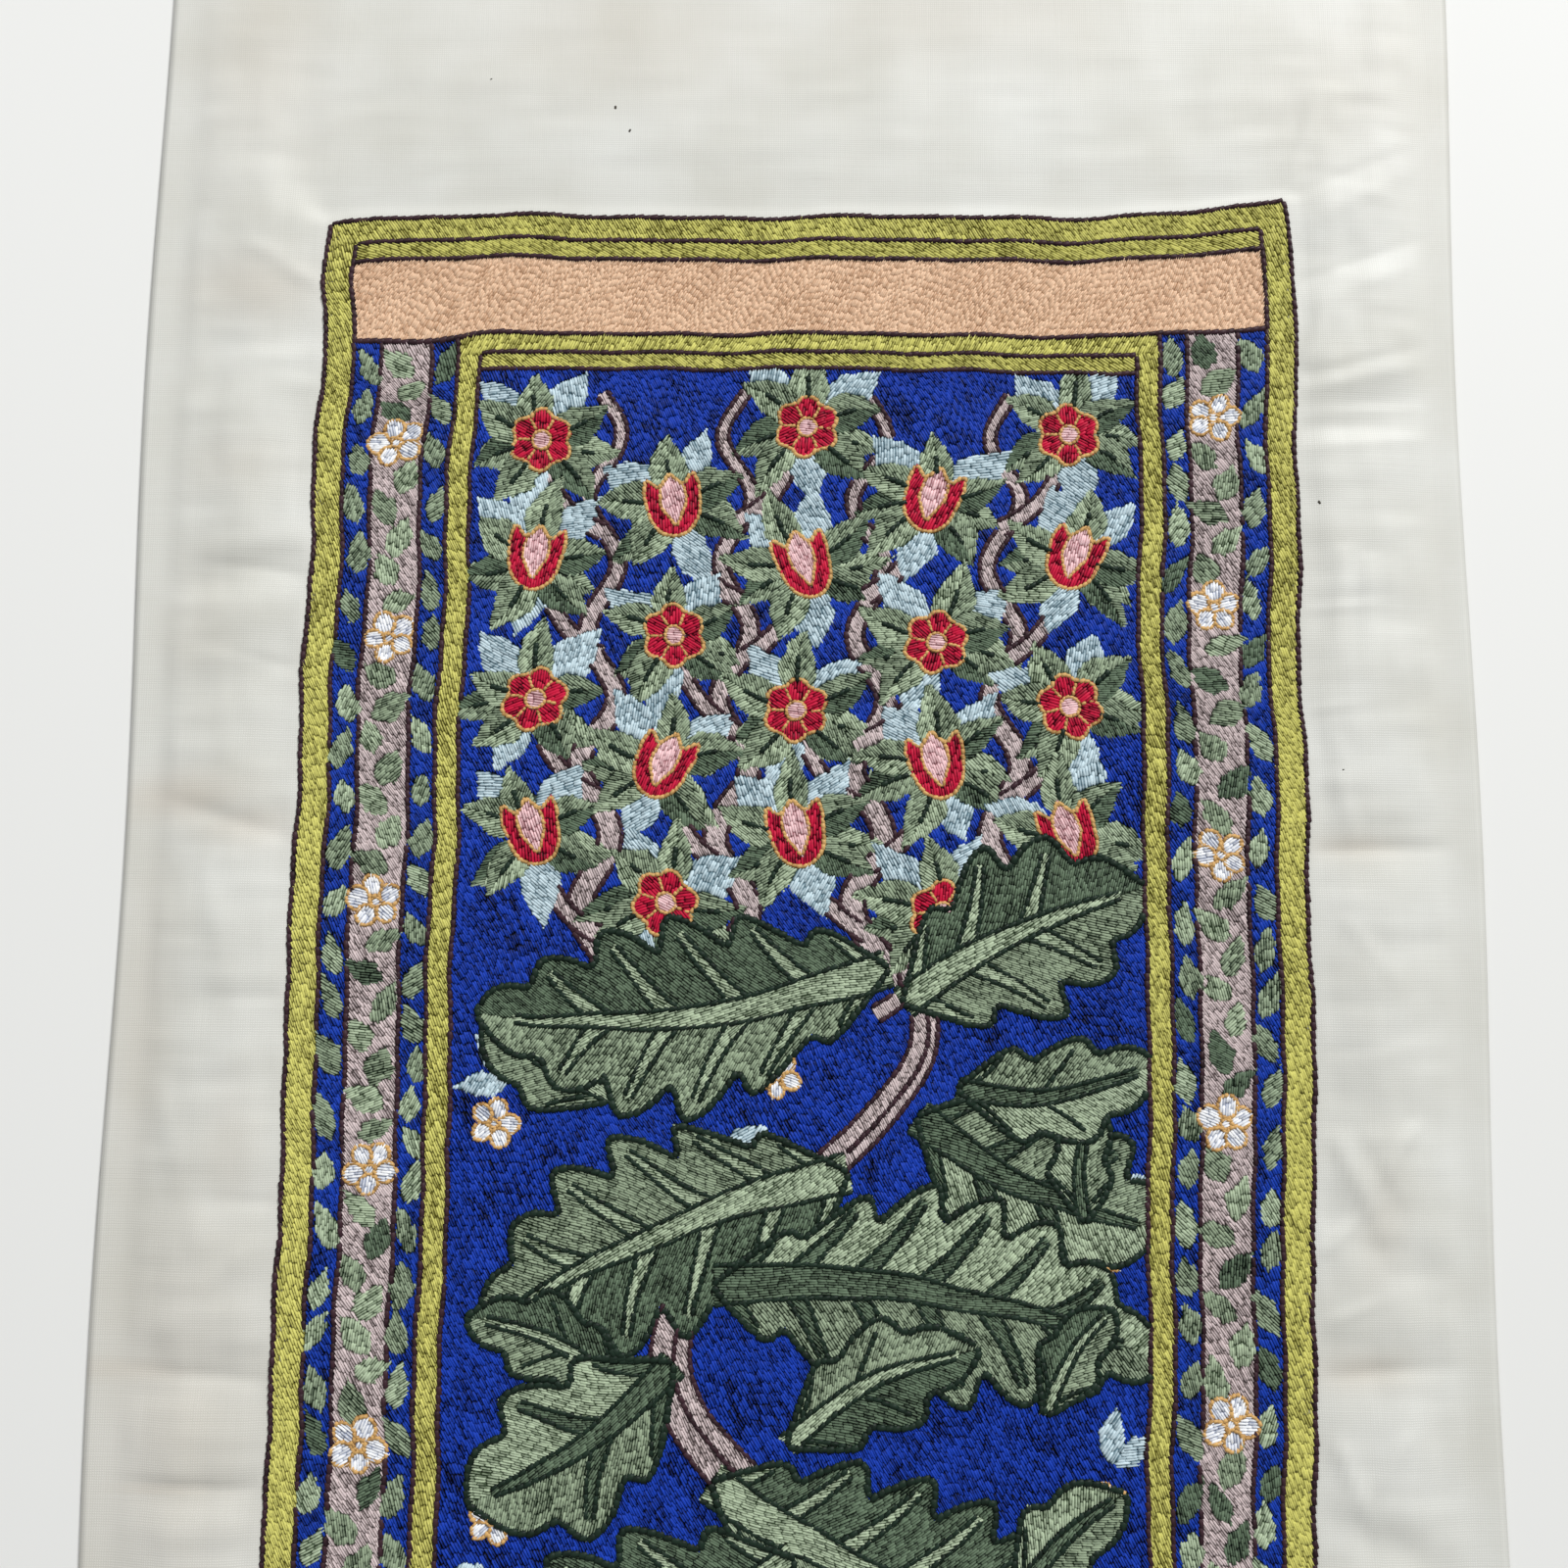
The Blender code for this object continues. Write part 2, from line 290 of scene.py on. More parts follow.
def underside_height(x, y):
    """The panel and the cloth's rim lie flat on the surface, and the margins rise between."""
    out_side = np.maximum(0.0, np.abs(x) - PANEL_HALF)
    out_end = np.maximum(0.0, np.maximum(y, -PANEL_LENGTH - y))
    side = np.where(x < 0, puff("left", out_side, -y), puff("right", out_side, -y))
    end = np.where(y > 0, puff("head", out_end, x), puff("foot", out_end, x))
    outside = (out_side > 0) | (out_end > 0)
    share = out_side ** 2 / np.where(outside, out_side ** 2 + out_end ** 2, 1)
    rim = np.minimum(CLOTH_HALF - np.abs(x), CLOTH_LENGTH / 2 - np.abs(y + HEAD_UP))
    height = share * side + (1 - share) * end
    height = height + ripple_height(x, y) * np.clip(height, 0, 1) + crease_height(x, y)
    height = np.maximum(0, height) * np.clip(rim / FLAT_RIM - 1, 0, 1)
    return np.where(outside, height, 0.0)


def is_covered(x, y):
    """Where the stitching hides the cloth."""
    beside = np.abs(x) < PANEL_HALF - COVER_INSET
    return beside & (y < -COVER_INSET) & (y > COVER_INSET - PANEL_LENGTH)


def face_height(x, y):
    """The stitches' backs lift the cloth's face under the panel and just outside it."""
    out_side = np.maximum(0.0, np.abs(x) - PANEL_HALF)
    out_end = np.maximum(0.0, np.maximum(y, -PANEL_LENGTH - y))
    out = np.hypot(out_side, out_end) / LIFT_REACH
    lift = (BACKED_HEIGHT - CLOTH_THICKNESS) * np.exp(-out * out)
    face = underside_height(x, y) + CLOTH_THICKNESS + lift
    return np.where(is_covered(x, y), COVERED_HEIGHT, face)


def placed(x, y, height):
    """Points on the cloth, in metres and in the frame's own directions."""
    new_x, new_y = wandered(x, y)
    return np.stack([new_x, new_y + HEAD_UP, height], -1).reshape(-1, 3) * MM


def mesh_piece(name, points, face_blocks, material):
    """A piece from its points and from blocks of faces, all in a block with as many corners."""
    corners = np.concatenate([block.ravel() for block in face_blocks])
    sizes = np.concatenate([np.full(len(block), block.shape[1]) for block in face_blocks])
    starts = np.cumsum(sizes) - sizes
    mesh = bpy.data.meshes.new(name)
    mesh.vertices.add(len(points))
    mesh.vertices.foreach_set("co", np.asarray(points, np.float32).ravel())
    mesh.loops.add(len(corners))
    mesh.loops.foreach_set("vertex_index", corners.astype(np.int32))
    mesh.polygons.add(len(sizes))
    mesh.polygons.foreach_set("loop_start", starts.astype(np.int32))
    mesh.polygons.foreach_set("use_smooth", np.ones(len(sizes), bool))
    mesh.update(calc_edges=True)
    plan = np.asarray(points)[corners, :2]
    low, high = plan.min(0), plan.max(0)
    flat_map = ((plan - low) / (high - low)).astype(np.float32)
    mesh.uv_layers.new(name="OFBake").data.foreach_set("uv", flat_map.ravel())
    mesh.materials.append(material)
    piece = bpy.data.objects.new(name, mesh)
    bpy.context.scene.collection.objects.link(piece)
    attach(piece, "root")
    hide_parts("embroidered_cloth")
    return piece


def linear(code):
    """An sRGB hex colour as linear red, green, blue and alpha."""
    parts = [int(code[i:i + 2], 16) / 255 for i in (1, 3, 5)]
    return [c / 12.92 if c <= 0.04045 else ((c + 0.055) / 1.055) ** 2.4 for c in parts] + [1.0]


def node(material, kind, inputs, **settings):
    """Adds a node with its settings. An input is a value or another node's output."""
    made = material.node_tree.nodes.new(kind)
    for name, value in settings.items():
        setattr(made, name, value)
    for name, value in inputs.items():
        if isinstance(value, bpy.types.NodeSocket):
            material.node_tree.links.new(value, made.inputs[name])
        else:
            made.inputs[name].default_value = value
    return made


def new_material(name, roughness, sheen):
    """A material, its shader, and the place on the cloth in metres."""
    material = bpy.data.materials.new(name)
    material.use_nodes = True
    shader = material.node_tree.nodes["Principled BSDF"]
    shader.inputs["Roughness"].default_value = roughness
    shader.inputs["Sheen Weight"].default_value = sheen
    shader.inputs["Sheen Roughness"].default_value = 0.4
    place = node(material, "ShaderNodeTexCoord", {}).outputs["Object"]
    return material, shader, place


def silk_cotton_plain_weave():
    """Silk gives the cloth its soft sheen, and cotton the fine even grid of crossing yarns."""
    material, shader, place = new_material("silk_cotton_plain_weave", roughness=0.55, sheen=0.3)
    yarn = 0.5 * MM  # the real yarns lie 0.4 mm apart, which is too fine to show
    repeats = 2 * math.pi / 20 / yarn  # at a scale of 1 a wave is 2 pi / 20 long
    threads = []
    for direction in ("X", "Y"):
        wave = {"Vector": place, "Scale": repeats, "Distortion": 1.8, "Detail": 2.0}
        made = node(material, "ShaderNodeTexWave", wave, bands_direction=direction)
        threads.append(made.outputs["Fac"])
    weave = {0: threads[0], 1: threads[1]}
    weave = node(material, "ShaderNodeMath", weave, operation="MULTIPLY").outputs[0]
    # thicker yarns show as streaks, this many millimetres across the cloth and up it
    streaks = []
    for across, up in ((24, 0.7), (0.6, 20)):
        stretch = {"Vector": place, "Scale": (1 / (across * MM), 1 / (up * MM), 1)}
        stretched = node(material, "ShaderNodeMapping", stretch).outputs["Vector"]
        streak = {"Vector": stretched, "Scale": 1.0, "Detail": 3.0}
        streaks.append(node(material, "ShaderNodeTexNoise", streak).outputs["Fac"])
    slubs = {0: streaks[0], 1: streaks[1]}
    slubs = node(material, "ShaderNodeMath", slubs, operation="ADD").outputs[0]
    surface = node(material, "ShaderNodeMath", {0: slubs, 1: weave}, operation="ADD").outputs[0]
    relief = {"Height": surface, "Strength": 0.38, "Distance": 0.07 * MM}
    bump = node(material, "ShaderNodeBump", relief)
    material.node_tree.links.new(bump.outputs["Normal"], shader.inputs["Normal"])
    # age has yellowed the cloth in clouds about 30 mm wide
    cloud = {"Vector": place, "Scale": 1 / (30 * MM), "Detail": 4.0}
    yellowed = node(material, "ShaderNodeTexNoise", cloud).outputs["Fac"]
    # one attribute holds both real stains and painted shade along the troughs and in two broad patches
    stain_and_painted_shade = node(material, "ShaderNodeAttribute", {}, attribute_name="stain_and_painted_shade").outputs["Fac"]
    # between the stitches, the thread's hue darkened further as painted shade
    hue_and_gap_shade = node(material, "ShaderNodeAttribute", {}, attribute_name="thread_hue_and_painted_gap_shade")
    shades = []
    for pattern, dark, light in ((weave, "#EDEDEB", "#FAFAFA"), (slubs, "#F7F7F6", "#FFFFFF")):
        shade = {0: pattern, 6: linear(dark), 7: linear(light)}
        shades.append(node(material, "ShaderNodeMix", shade, data_type="RGBA").outputs[2])
    # age, stains and painted shade tint the cloth, yarns and slubs shade it, and between the stitches
    # the thread's hue and painted shade darken it
    layers = (
        (yellowed, linear("#D1CFC4"), "MIX"),
        (stain_and_painted_shade, linear("#D7CDBF"), "MIX"),
        (1.0, shades[0], "MULTIPLY"),
        (1.0, shades[1], "MULTIPLY"),
        (hue_and_gap_shade.outputs["Alpha"], hue_and_gap_shade.outputs["Color"], "MIX"),
    )
    colour = linear("#F1F2EF")
    for amount, tint, blend in layers:
        layer = {0: amount, 6: colour, 7: tint}
        made = node(material, "ShaderNodeMix", layer, data_type="RGBA", blend_type=blend)
        colour = made.outputs[2]
    material.node_tree.links.new(colour, shader.inputs["Base Color"])
    return material


def make_ground():
    """The cloth's face and back, closed by its thin edge."""
    columns = spread(-CLOTH_HALF, -PANEL_HALF, MARGIN_COLUMN)
    columns += spread(-PANEL_HALF, PANEL_HALF, COVERED_COLUMN)[1:]
    columns += spread(PANEL_HALF, CLOTH_HALF, MARGIN_COLUMN)[1:]
    rows = spread(-PANEL_LENGTH - FOOT_MARGIN, -PANEL_LENGTH, FOOT_ROW)
    rows += spread(-PANEL_LENGTH, 0, CLOTH_ROW)[1:]
    rows += spread(0, HEAD_MARGIN, CLOTH_ROW)[1:]
    x, y = (grid.ravel() for grid in np.meshgrid(columns, rows))
    points = np.vstack([placed(x, y, face_height(x, y)), placed(x, y, underside_height(x, y))])
    index = np.arange(len(x)).reshape(len(rows), len(columns))
    cells = [index[:-1, :-1], index[:-1, 1:], index[1:, 1:], index[1:, :-1]]
    face = np.stack(cells, -1).reshape(-1, 4)
    rim = np.concatenate([index[0, :-1], index[:-1, -1], index[-1, :0:-1], index[:0:-1, 0]])
    after = np.roll(rim, -1)
    edge = np.stack([rim + len(x), after + len(x), after, rim], 1)
    blocks = [np.vstack([face, face[:, ::-1] + len(x), edge])]
    piece = mesh_piece("ground_cloth", points, blocks, silk_cotton_plain_weave())
    # real stains and painted shade, kept together in one attribute
    stained_and_shaded = np.zeros(len(x))
    for at_x, at_y, reach_x, reach_y, strength in STAINS_AND_PAINTED_SHADE:
        away = ((x - at_x) / reach_x) ** 2 + ((y - at_y) / reach_y) ** 2
        stained_and_shaded = np.maximum(stained_and_shaded, strength * np.exp(-away))
    stain_and_painted_shade = piece.data.attributes.new("stain_and_painted_shade", "FLOAT", "POINT")
    stain_and_painted_shade.data.foreach_set("value", np.tile(stained_and_shaded, 2).astype(np.float32))
    return piece, x, y


ground, ground_x, ground_y = make_ground()

# The design is drawn on the cloth before any stitch: bands round the panel, in pairs of green
# lines with a bare peach band between at the ends, and strips of blue, mauve and blue down
# each side. Below, every shape is drawn over what is there and later filled with one thread.
CELL = 0.2
# From the panel's edge inwards: thread, width, and the slant of the stitches
SIDE_BANDS = (
    ("green", 6.5, 112),
    ("blue_strip", 6.3, 118),
    ("mauve", 11.4, 125),
    ("blue_strip", 6.0, 120),
    ("green", 5.3, 112),
)
END_BANDS = (
    ("green", 5.6, 122),
    ("green", 4.5, 152),
    ("peach", 18.0, 58),
    ("green", 4.4, 60),
    ("green", 3.9, 145),
)
# The outermost end bands stop this far short of the panel's corners
CORNER_INSET = 2.0
FIELD_SLANT = 119
OUTLINE_WIDTH = 1.22
OUTLINE_STEP = 1.75
POINT_SPACING = 3.0

side_edge = [0.0] + list(np.cumsum(column_of(SIDE_BANDS, 1)))
end_edge = [0.0] + list(np.cumsum(column_of(END_BANDS, 1)))
inset = [PANEL_HALF - edge for edge in side_edge]
end_reach = (inset[0] - CORNER_INSET, inset[1], inset[1], inset[4], inset[5])
# The drawing is a board of small cells, each with the number of the last shape drawn over it
cell_x = np.arange(-PANEL_HALF + CELL / 2, PANEL_HALF, CELL)
cell_y = np.arange(-CELL / 2, -PANEL_LENGTH, -CELL)
drawn = np.full((len(cell_y), len(cell_x)), -1, np.int32)
patches = []
lines = []


def enclosed(outline, xs, ys):
    """Which points of a grid lie in a closed outline."""
    grid_x, grid_y = np.meshgrid(xs, ys)
    hit = np.zeros(grid_x.shape, bool)
    for (ax, ay), (bx, by) in zip(outline, np.roll(outline, -1, 0)):
        if ay != by:
            crosses = (ay > grid_y) != (by > grid_y)
            hit ^= crosses & (grid_x < ax + (grid_y - ay) * (bx - ax) / (by - ay))
    return hit


def draw_patch(outline, thread, slant, within=None):
    """Draws a closed shape, to be filled with a thread whose stitches have this slant."""
    low, high = outline.min(0), outline.max(0)
    first_column, last_column = np.searchsorted(cell_x, [low[0], high[0]])
    first_row, last_row = np.searchsorted(-cell_y, [-high[1], -low[1]])
    region = np.s_[first_row:last_row, first_column:last_column]
    hit = enclosed(outline, cell_x[region[1]], cell_y[region[0]])
    if within is not None:
        hit &= within[region]
    drawn[region][hit] = len(patches)
    patches.append((thread, round(float(slant), 2), low, high))


def draw_line(points, thread, width=OUTLINE_WIDTH, step=OUTLINE_STEP, within=None):
    """Draws a line to be worked in stem stitch, over all that is drawn up to now."""
    lines.append((np.asarray(points, float), thread, width, step, within, len(patches)))


def closed(points):
    return np.vstack([points, points[:1]])


def rectangle(x0, y0, x1, y1):
    return np.array([(x0, y0), (x1, y0), (x1, y1), (x0, y1)], float)


def straight(x0, y0, x1, y1):
    """A straight line with a point every few millimetres, so that it follows the cloth."""
    count = 2 + int(math.hypot(x1 - x0, y1 - y0) / POINT_SPACING)
    return np.linspace((x0, y0), (x1, y1), count)


def draw_side_band(sign, band, start):
    """A band down one side, from this far below the head to as far above the foot."""
    thread, _, slant = SIDE_BANDS[band]
    near, far = (sign * place for place in inset[band:band + 2])
    draw_patch(rectangle(near, -start, far, start - PANEL_LENGTH), thread, slant)


def draw_end_band(band):
    """A band across the head, and its like across the foot."""
    thread, _, slant = END_BANDS[band]
    near, far = end_edge[band:band + 2]
    reach = end_reach[band]
    draw_patch(rectangle(-reach, -near, reach, -far), thread, slant)
    draw_patch(rectangle(-reach, near - PANEL_LENGTH, reach, far - PANEL_LENGTH), thread, slant)


def draw_bands():
    """The outer bands come first, then the strips, the inner bands and the field."""
    for sign in (-1, 1):
        draw_side_band(sign, 0, 0)
    for band in (0, 1, 2):
        draw_end_band(band)
    for sign in (-1, 1):
        for band in (1, 2, 3, 4):
            draw_side_band(sign, band, end_edge[3])
    for band in (3, 4):
        draw_end_band(band)
    field = rectangle(-inset[5], -end_edge[5], inset[5], end_edge[5] - PANEL_LENGTH)
    draw_patch(field, "blue_field", FIELD_SLANT)


def draw_band_lines():
    """Plum lines part the bands and go round the panel."""
    foot = -PANEL_LENGTH
    starts = (0, end_edge[1], end_edge[3], end_edge[3], end_edge[3], end_edge[4])
    for sign in (-1, 1):
        for place, start in zip(inset, starts):
            draw_line(straight(sign * place, -start, sign * place, foot + start), "plum")
    reaches = (inset[0], inset[1], inset[1], inset[1], inset[5], inset[5])
    for reach, edge in zip(reaches, end_edge):
        draw_line(straight(-reach, -edge, reach, -edge), "plum")
        draw_line(straight(-reach, foot + edge, reach, foot + edge), "plum")


rng = np.random.default_rng(7)
draw_bands()
field_cells = drawn == len(patches) - 1
strips_drawn = [i for i, patch in enumerate(patches) if patch[0] in ("blue_strip", "mauve")]
strip_cells = np.isin(drawn, strips_drawn)
draw_band_lines()

# Leaves in three greens climb the strips at each side, and small white flowers edged in ochre sit
# on the mauve stripe. They are drawn freehand on the cloth, so their sizes and slopes differ, and
# some touch the lines beside them.

# Down from the head to each white flower on the left and on the right stripe
FLOWER_PLACES = {-1: (54.5, 100, 158, 216, 273, 329), 1: (47.5, 91, 146.5, 205, 267, 322)}
FLOWER_RADIUS = 5.9
PETALS = 5
PETAL_STRAY = 8
# Shares of the flower's radius: a petal's size, how far out it is, its half length and half width,
# and the radius of the eye
PETAL_SIZES = (0.90, 1.08)
PETAL_OUT = 0.61
PETAL_HALF_LENGTH = 0.42
PETAL_HALF_WIDTHS = (0.38, 0.43)
EYE_SHARE = 0.2
# Width of each finer line and how far apart its stitches are
PETAL_LINE = (0.95, 1.1)
EYE_LINE = (0.75, 0.8)
VEIN_LINE = (1.3, 1.6)
LEAF_LENGTHS = (8.0, 11.2)
LEAF_UNEVENNESS = 0.24
LEAF_THREADS = ("sage", "moss", "pine")
# How far a leaf's stitches lean from its spine, and those of its shaded half
LEAF_LEANS = (12, 48)
SHADED_LEANS = (25, 45)
# On the blue strips, and then on the mauve stripe: widths, share of the leaves in each thread
STRIP_LEAF_WIDTHS = (4.3, 5.6)
STRIP_LEAF_SHARES = (0.4, 0.5, 0.1)
STRIPE_LEAF_WIDTHS = (4.6, 6.2)
STRIPE_LEAF_SHARES = (0.35, 0.4, 0.25)
STRIP_LEAF_SLOPES = (62, 76, 84, 97, 106, 120)
STRIP_LEAF_GAPS = (2.8, 6.8)
STRIP_END_GAP = 4.0
STRIPE_LEAF_PITCH = 7.2
# The mauve stripe's leaves keep clear of the flowers, and of its ends, down from the head
CLEARANCE = 8.4
STRIPE_ENDS = (24.0, 378.0)


def turned(points, at, angle):
    """Points turned by an angle in degrees and moved from the origin to a place."""
    c, s = math.cos(math.radians(angle)), math.sin(math.radians(angle))
    return np.asarray(points, float) @ np.array([[c, s], [-s, c]]) + np.asarray(at, float)


def leaf_sides(length, width, bend=0.0, count=12):
    """The spine and both sides of a leaf that grows along +x from the origin."""
    t = np.linspace(0, 1, count)
    spine = np.stack([t * length, 2 * bend * length * t * (1 - t)], 1)
    half = width / 2 * np.sin(math.pi * t ** 0.8).clip(0) ** 1.05
    across = np.stack([0 * t, half], 1)
    return spine, spine + across, spine - across


def draw_leaf(centre, angle, length, width, thread, bend=0.0, shaded=None, within=None):
    """One small leaf about its centre, plain, or with a shaded half and a dark vein."""
    spine, left, right = leaf_sides(length, width, bend)
    foot = turned([(-length / 2, 0)], centre, angle)[0]
    outline = turned(np.vstack([left, right[::-1]]), foot, angle)
    outline += rng.normal(0, LEAF_UNEVENNESS, outline.shape)
    draw_patch(outline, thread, angle + rng.choice((-1, 1)) * rng.uniform(*LEAF_LEANS), within)
    if shaded:
        half = turned(np.vstack([right, spine[::-1]]), foot, angle)
        draw_patch(half, shaded, angle - rng.uniform(*SHADED_LEANS), within)
        draw_line(turned(spine[:-4], foot, angle), "dark_green", *VEIN_LINE, within)


def ellipse(long_radius, short_radius, count=20):
    a = np.linspace(0, 2 * math.pi, count, endpoint=False)
    return np.stack([long_radius * np.cos(a), short_radius * np.sin(a)], 1)


def draw_white_flower(centre, radius, angle, within=None):
    """Five loose white petals round a small eye, each edged by an ochre line."""
    for k in range(PETALS):
        direction = angle + 360 / PETALS * k + rng.uniform(-PETAL_STRAY, PETAL_STRAY)
        size = radius * rng.uniform(*PETAL_SIZES)
        middle = turned([(size * PETAL_OUT, 0)], centre, direction)[0]
        broad = size * rng.uniform(*PETAL_HALF_WIDTHS)
        petal = turned(ellipse(size * PETAL_HALF_LENGTH, broad), middle, direction)
        draw_patch(petal, "white", direction, within)
        draw_line(closed(petal), "ochre", *PETAL_LINE, within)
    eye = ellipse(radius * EYE_SHARE, radius * EYE_SHARE, 12) + np.asarray(centre)
    draw_patch(eye, "white", angle, within)
    draw_line(closed(eye), "ochre", *EYE_LINE, within)


def draw_strip_leaves(sign, near, far):
    """Leaves one above the other up a blue strip."""
    middle = sign * (inset[near] + inset[far]) / 2
    y = -end_edge[3] - STRIP_END_GAP - rng.uniform(0, 3)
    while y > end_edge[3] - PANEL_LENGTH + STRIP_END_GAP:
        length = rng.uniform(*LEAF_LENGTHS)
        centre = (middle + rng.uniform(-1.1, 1.1), y)
        slope = rng.choice(STRIP_LEAF_SLOPES) + rng.uniform(-6, 6)
        thread = str(rng.choice(LEAF_THREADS, p=STRIP_LEAF_SHARES))
        width = rng.uniform(*STRIP_LEAF_WIDTHS)
        draw_leaf(centre, slope, length, width, thread, within=strip_cells)
        y -= length * 0.62 + rng.uniform(*STRIP_LEAF_GAPS)


def draw_stripe_leaves(sign):
    """Leaves from side to side up the mauve stripe, and the white flowers between them."""
    middle = sign * (inset[2] + inset[3]) / 2
    flowers = FLOWER_PLACES[sign]
    side = 1
    stops = STRIPE_ENDS[:1] + flowers + STRIPE_ENDS[1:]
    for above, below in zip(stops, stops[1:]):
        count = max(1, round((below - above - 2 * CLEARANCE) / STRIPE_LEAF_PITCH))
        for place in np.linspace(above + CLEARANCE, below - CLEARANCE, count + 1):
            side = -side
            centre = (middle + side * rng.uniform(1.2, 3.0), -place)
            length = rng.uniform(*LEAF_LENGTHS)
            slope = 90 - side * rng.uniform(10, 75)
            thread = str(rng.choice(LEAF_THREADS, p=STRIPE_LEAF_SHARES))
            width = rng.uniform(*STRIPE_LEAF_WIDTHS)
            draw_leaf(centre, slope, length, width, thread, within=strip_cells)
    for place in flowers:
        centre = (middle + rng.uniform(-0.6, 0.6), -place)
        draw_white_flower(centre, FLOWER_RADIUS, rng.uniform(0, 72), strip_cells)


for sign in (-1, 1):
    draw_strip_leaves(sign, 1, 2)
    draw_strip_leaves(sign, 3, 4)
    draw_stripe_leaves(sign)

# The field holds powdered sprigs in a half-drop repeat on thin climbing stems, over broad lobed
# leaves on a winding stem. The motifs are common ones: tulips and rosettes in red and pink, edged
# in ochre, on pale-blue petals and sage leaves. The big leaves are two-toned, with a rib.
SPRIG_COLUMNS = (-60, -30, 0, 30, 60)
SPRIG_PITCH = 30.5
FIRST_SPRIG = 52.0
SPRIG_ROWS = 4
SPRIG_SIZE = 15.8
TWIG_REACH = 15.0
# Half widths of the stems at their heads and feet
TWIG_HALVES = (1.2, 1.9)
CLIMB_HALVES = (1.2, 2.9)
STEM_HALVES = (2.4, 6.5)
STEM_SLANT = 117
CLIMB_SWING = 3.6
STEM_WAVE = 140.0
STEM_SWING = 27.0
STEM_CROSSES_MIDDLE = 150.0
STEM_TOP = 166.0
STEM_FOOT = 370.0
STEM_CORE = 0.8
STEM_STEP = 2.0
# The climbing stems reach this far past the sprigs at both ends
CLIMB_ABOVE = 10
CLIMB_BELOW = 3
# Across and down the panel, angle, length, width, bend, order of the tones
BIG_LEAVES = (
    (22, 180, 26, 60, 40, 0.10, 1),
    (-38, 200, 148, 36, 22, 0.16, 0),
    (19, 172, 187, 90, 44, 0.12, 0),
    (26, 204, -24, 58, 42, -0.12, 3),
    (62, 226, 84, 24, 15, 0.20, 2),
    (11, 216, 203, 86, 46, -0.10, 1),
    (-18, 240, -9, 98, 46, 0.14, 2),
    (-36, 262, 156, 38, 20, -0.18, 0),
    (-26, 256, 213, 52, 36, 0.12, 3),
    (54, 266, 58, 26, 16, 0.20, 1),
    (34, 198, 8, 44, 24, -0.16, 3),
    (-2, 272, 26, 46, 24, 0.15, 0),
    (-18, 280, -19, 98, 46, -0.12, 1),
    (0, 295, 197, 80, 44, 0.14, 0),
    (46, 304, 42, 34, 20, 0.16, 2),
    (25, 318, -12, 54, 38, 0.10, 1),
    (26, 334, 194, 104, 46, 0.10, 3),
    (10, 356, -4, 68, 36, 0.10, 0),
)
TONES = (
    ("moss", "pine", "sage"),
    ("pine", "moss", "sage"),
    ("sage", "moss", "pine"),
    ("moss", "sage", "pine"),
)
EDGE_WIDTH = 1.2
LEAF_EDGE_WIDTH = 1.65
LOBE_SPACING = 15.0
LOBE_POINTS = 16
LOBE_SWEEP = 0.3
HALF_SLANTS = (48, -42)
VEIN_SLANT = 30
RIB_SLANT = 8
# Shares of a lobe: the height left at its notch, where its tip is, where its vein starts, how near
# the tip the vein ends, and how far it bows
NOTCH = 0.60
LOBE_TIP = 0.74
VEIN_ROOT = 0.10
VEIN_REACH = 0.82
VEIN_BOW = 0.05
VEIN_HALVES = (2.0, 0.8)
# The rib's half width as a share of the leaf's width, its half width at its tip, and its length
RIB_SHARE = 0.09
RIB_TIP_HALF = 0.8
RIB_REACH = 0.91
# Across and down the panel, to small filling flowers and to pairs of pale-blue leaves and their angle
FILLING_FLOWERS = ((66, 232), (-66, 206), (-4, 196), (-64, 288), (66, 284), (-14, 318))
FILLING_LEAVES = (
    (-62, 197, 160),
    (66, 222, 60),
    (-8, 206, 250),
    (-66, 296, 250),
    (68, 276, 60),
    (-70, 334, 90),
)
FILLING_RADIUS = 5.0
FILLING_LEAF_SIZE = (12, 5.2)
FILLING_TURNS = (-28, 28)
FILLING_LEAF_OUT = 6.5


def smooth(points, count=12):
    """A round curve through three points."""
    t = np.linspace(0, 1, count)[:, None]
    a, b, c = (np.asarray(p, float) for p in points)
    return a * (1 - t) * (1 - 2 * t) + b * 4 * t * (1 - t) + c * t * (2 * t - 1)


def draw_tapered(points, first_half, last_half, thread="mauve", slant=STEM_SLANT, edge="plum"):
    """A tapering band along a curve, with a line down each side."""
    ahead = np.gradient(points, axis=0)
    ahead = ahead / np.hypot(*ahead.T)[:, None]
    half = np.linspace(first_half, last_half, len(points))[:, None]
    side = ahead[:, ::-1] * (-1, 1) * half
    left, right = points + side, points - side
    draw_patch(np.vstack([left, right[::-1]]), thread, slant, field_cells)
    draw_line(left, edge, EDGE_WIDTH, within=field_cells)
    draw_line(right, edge, EDGE_WIDTH, within=field_cells)


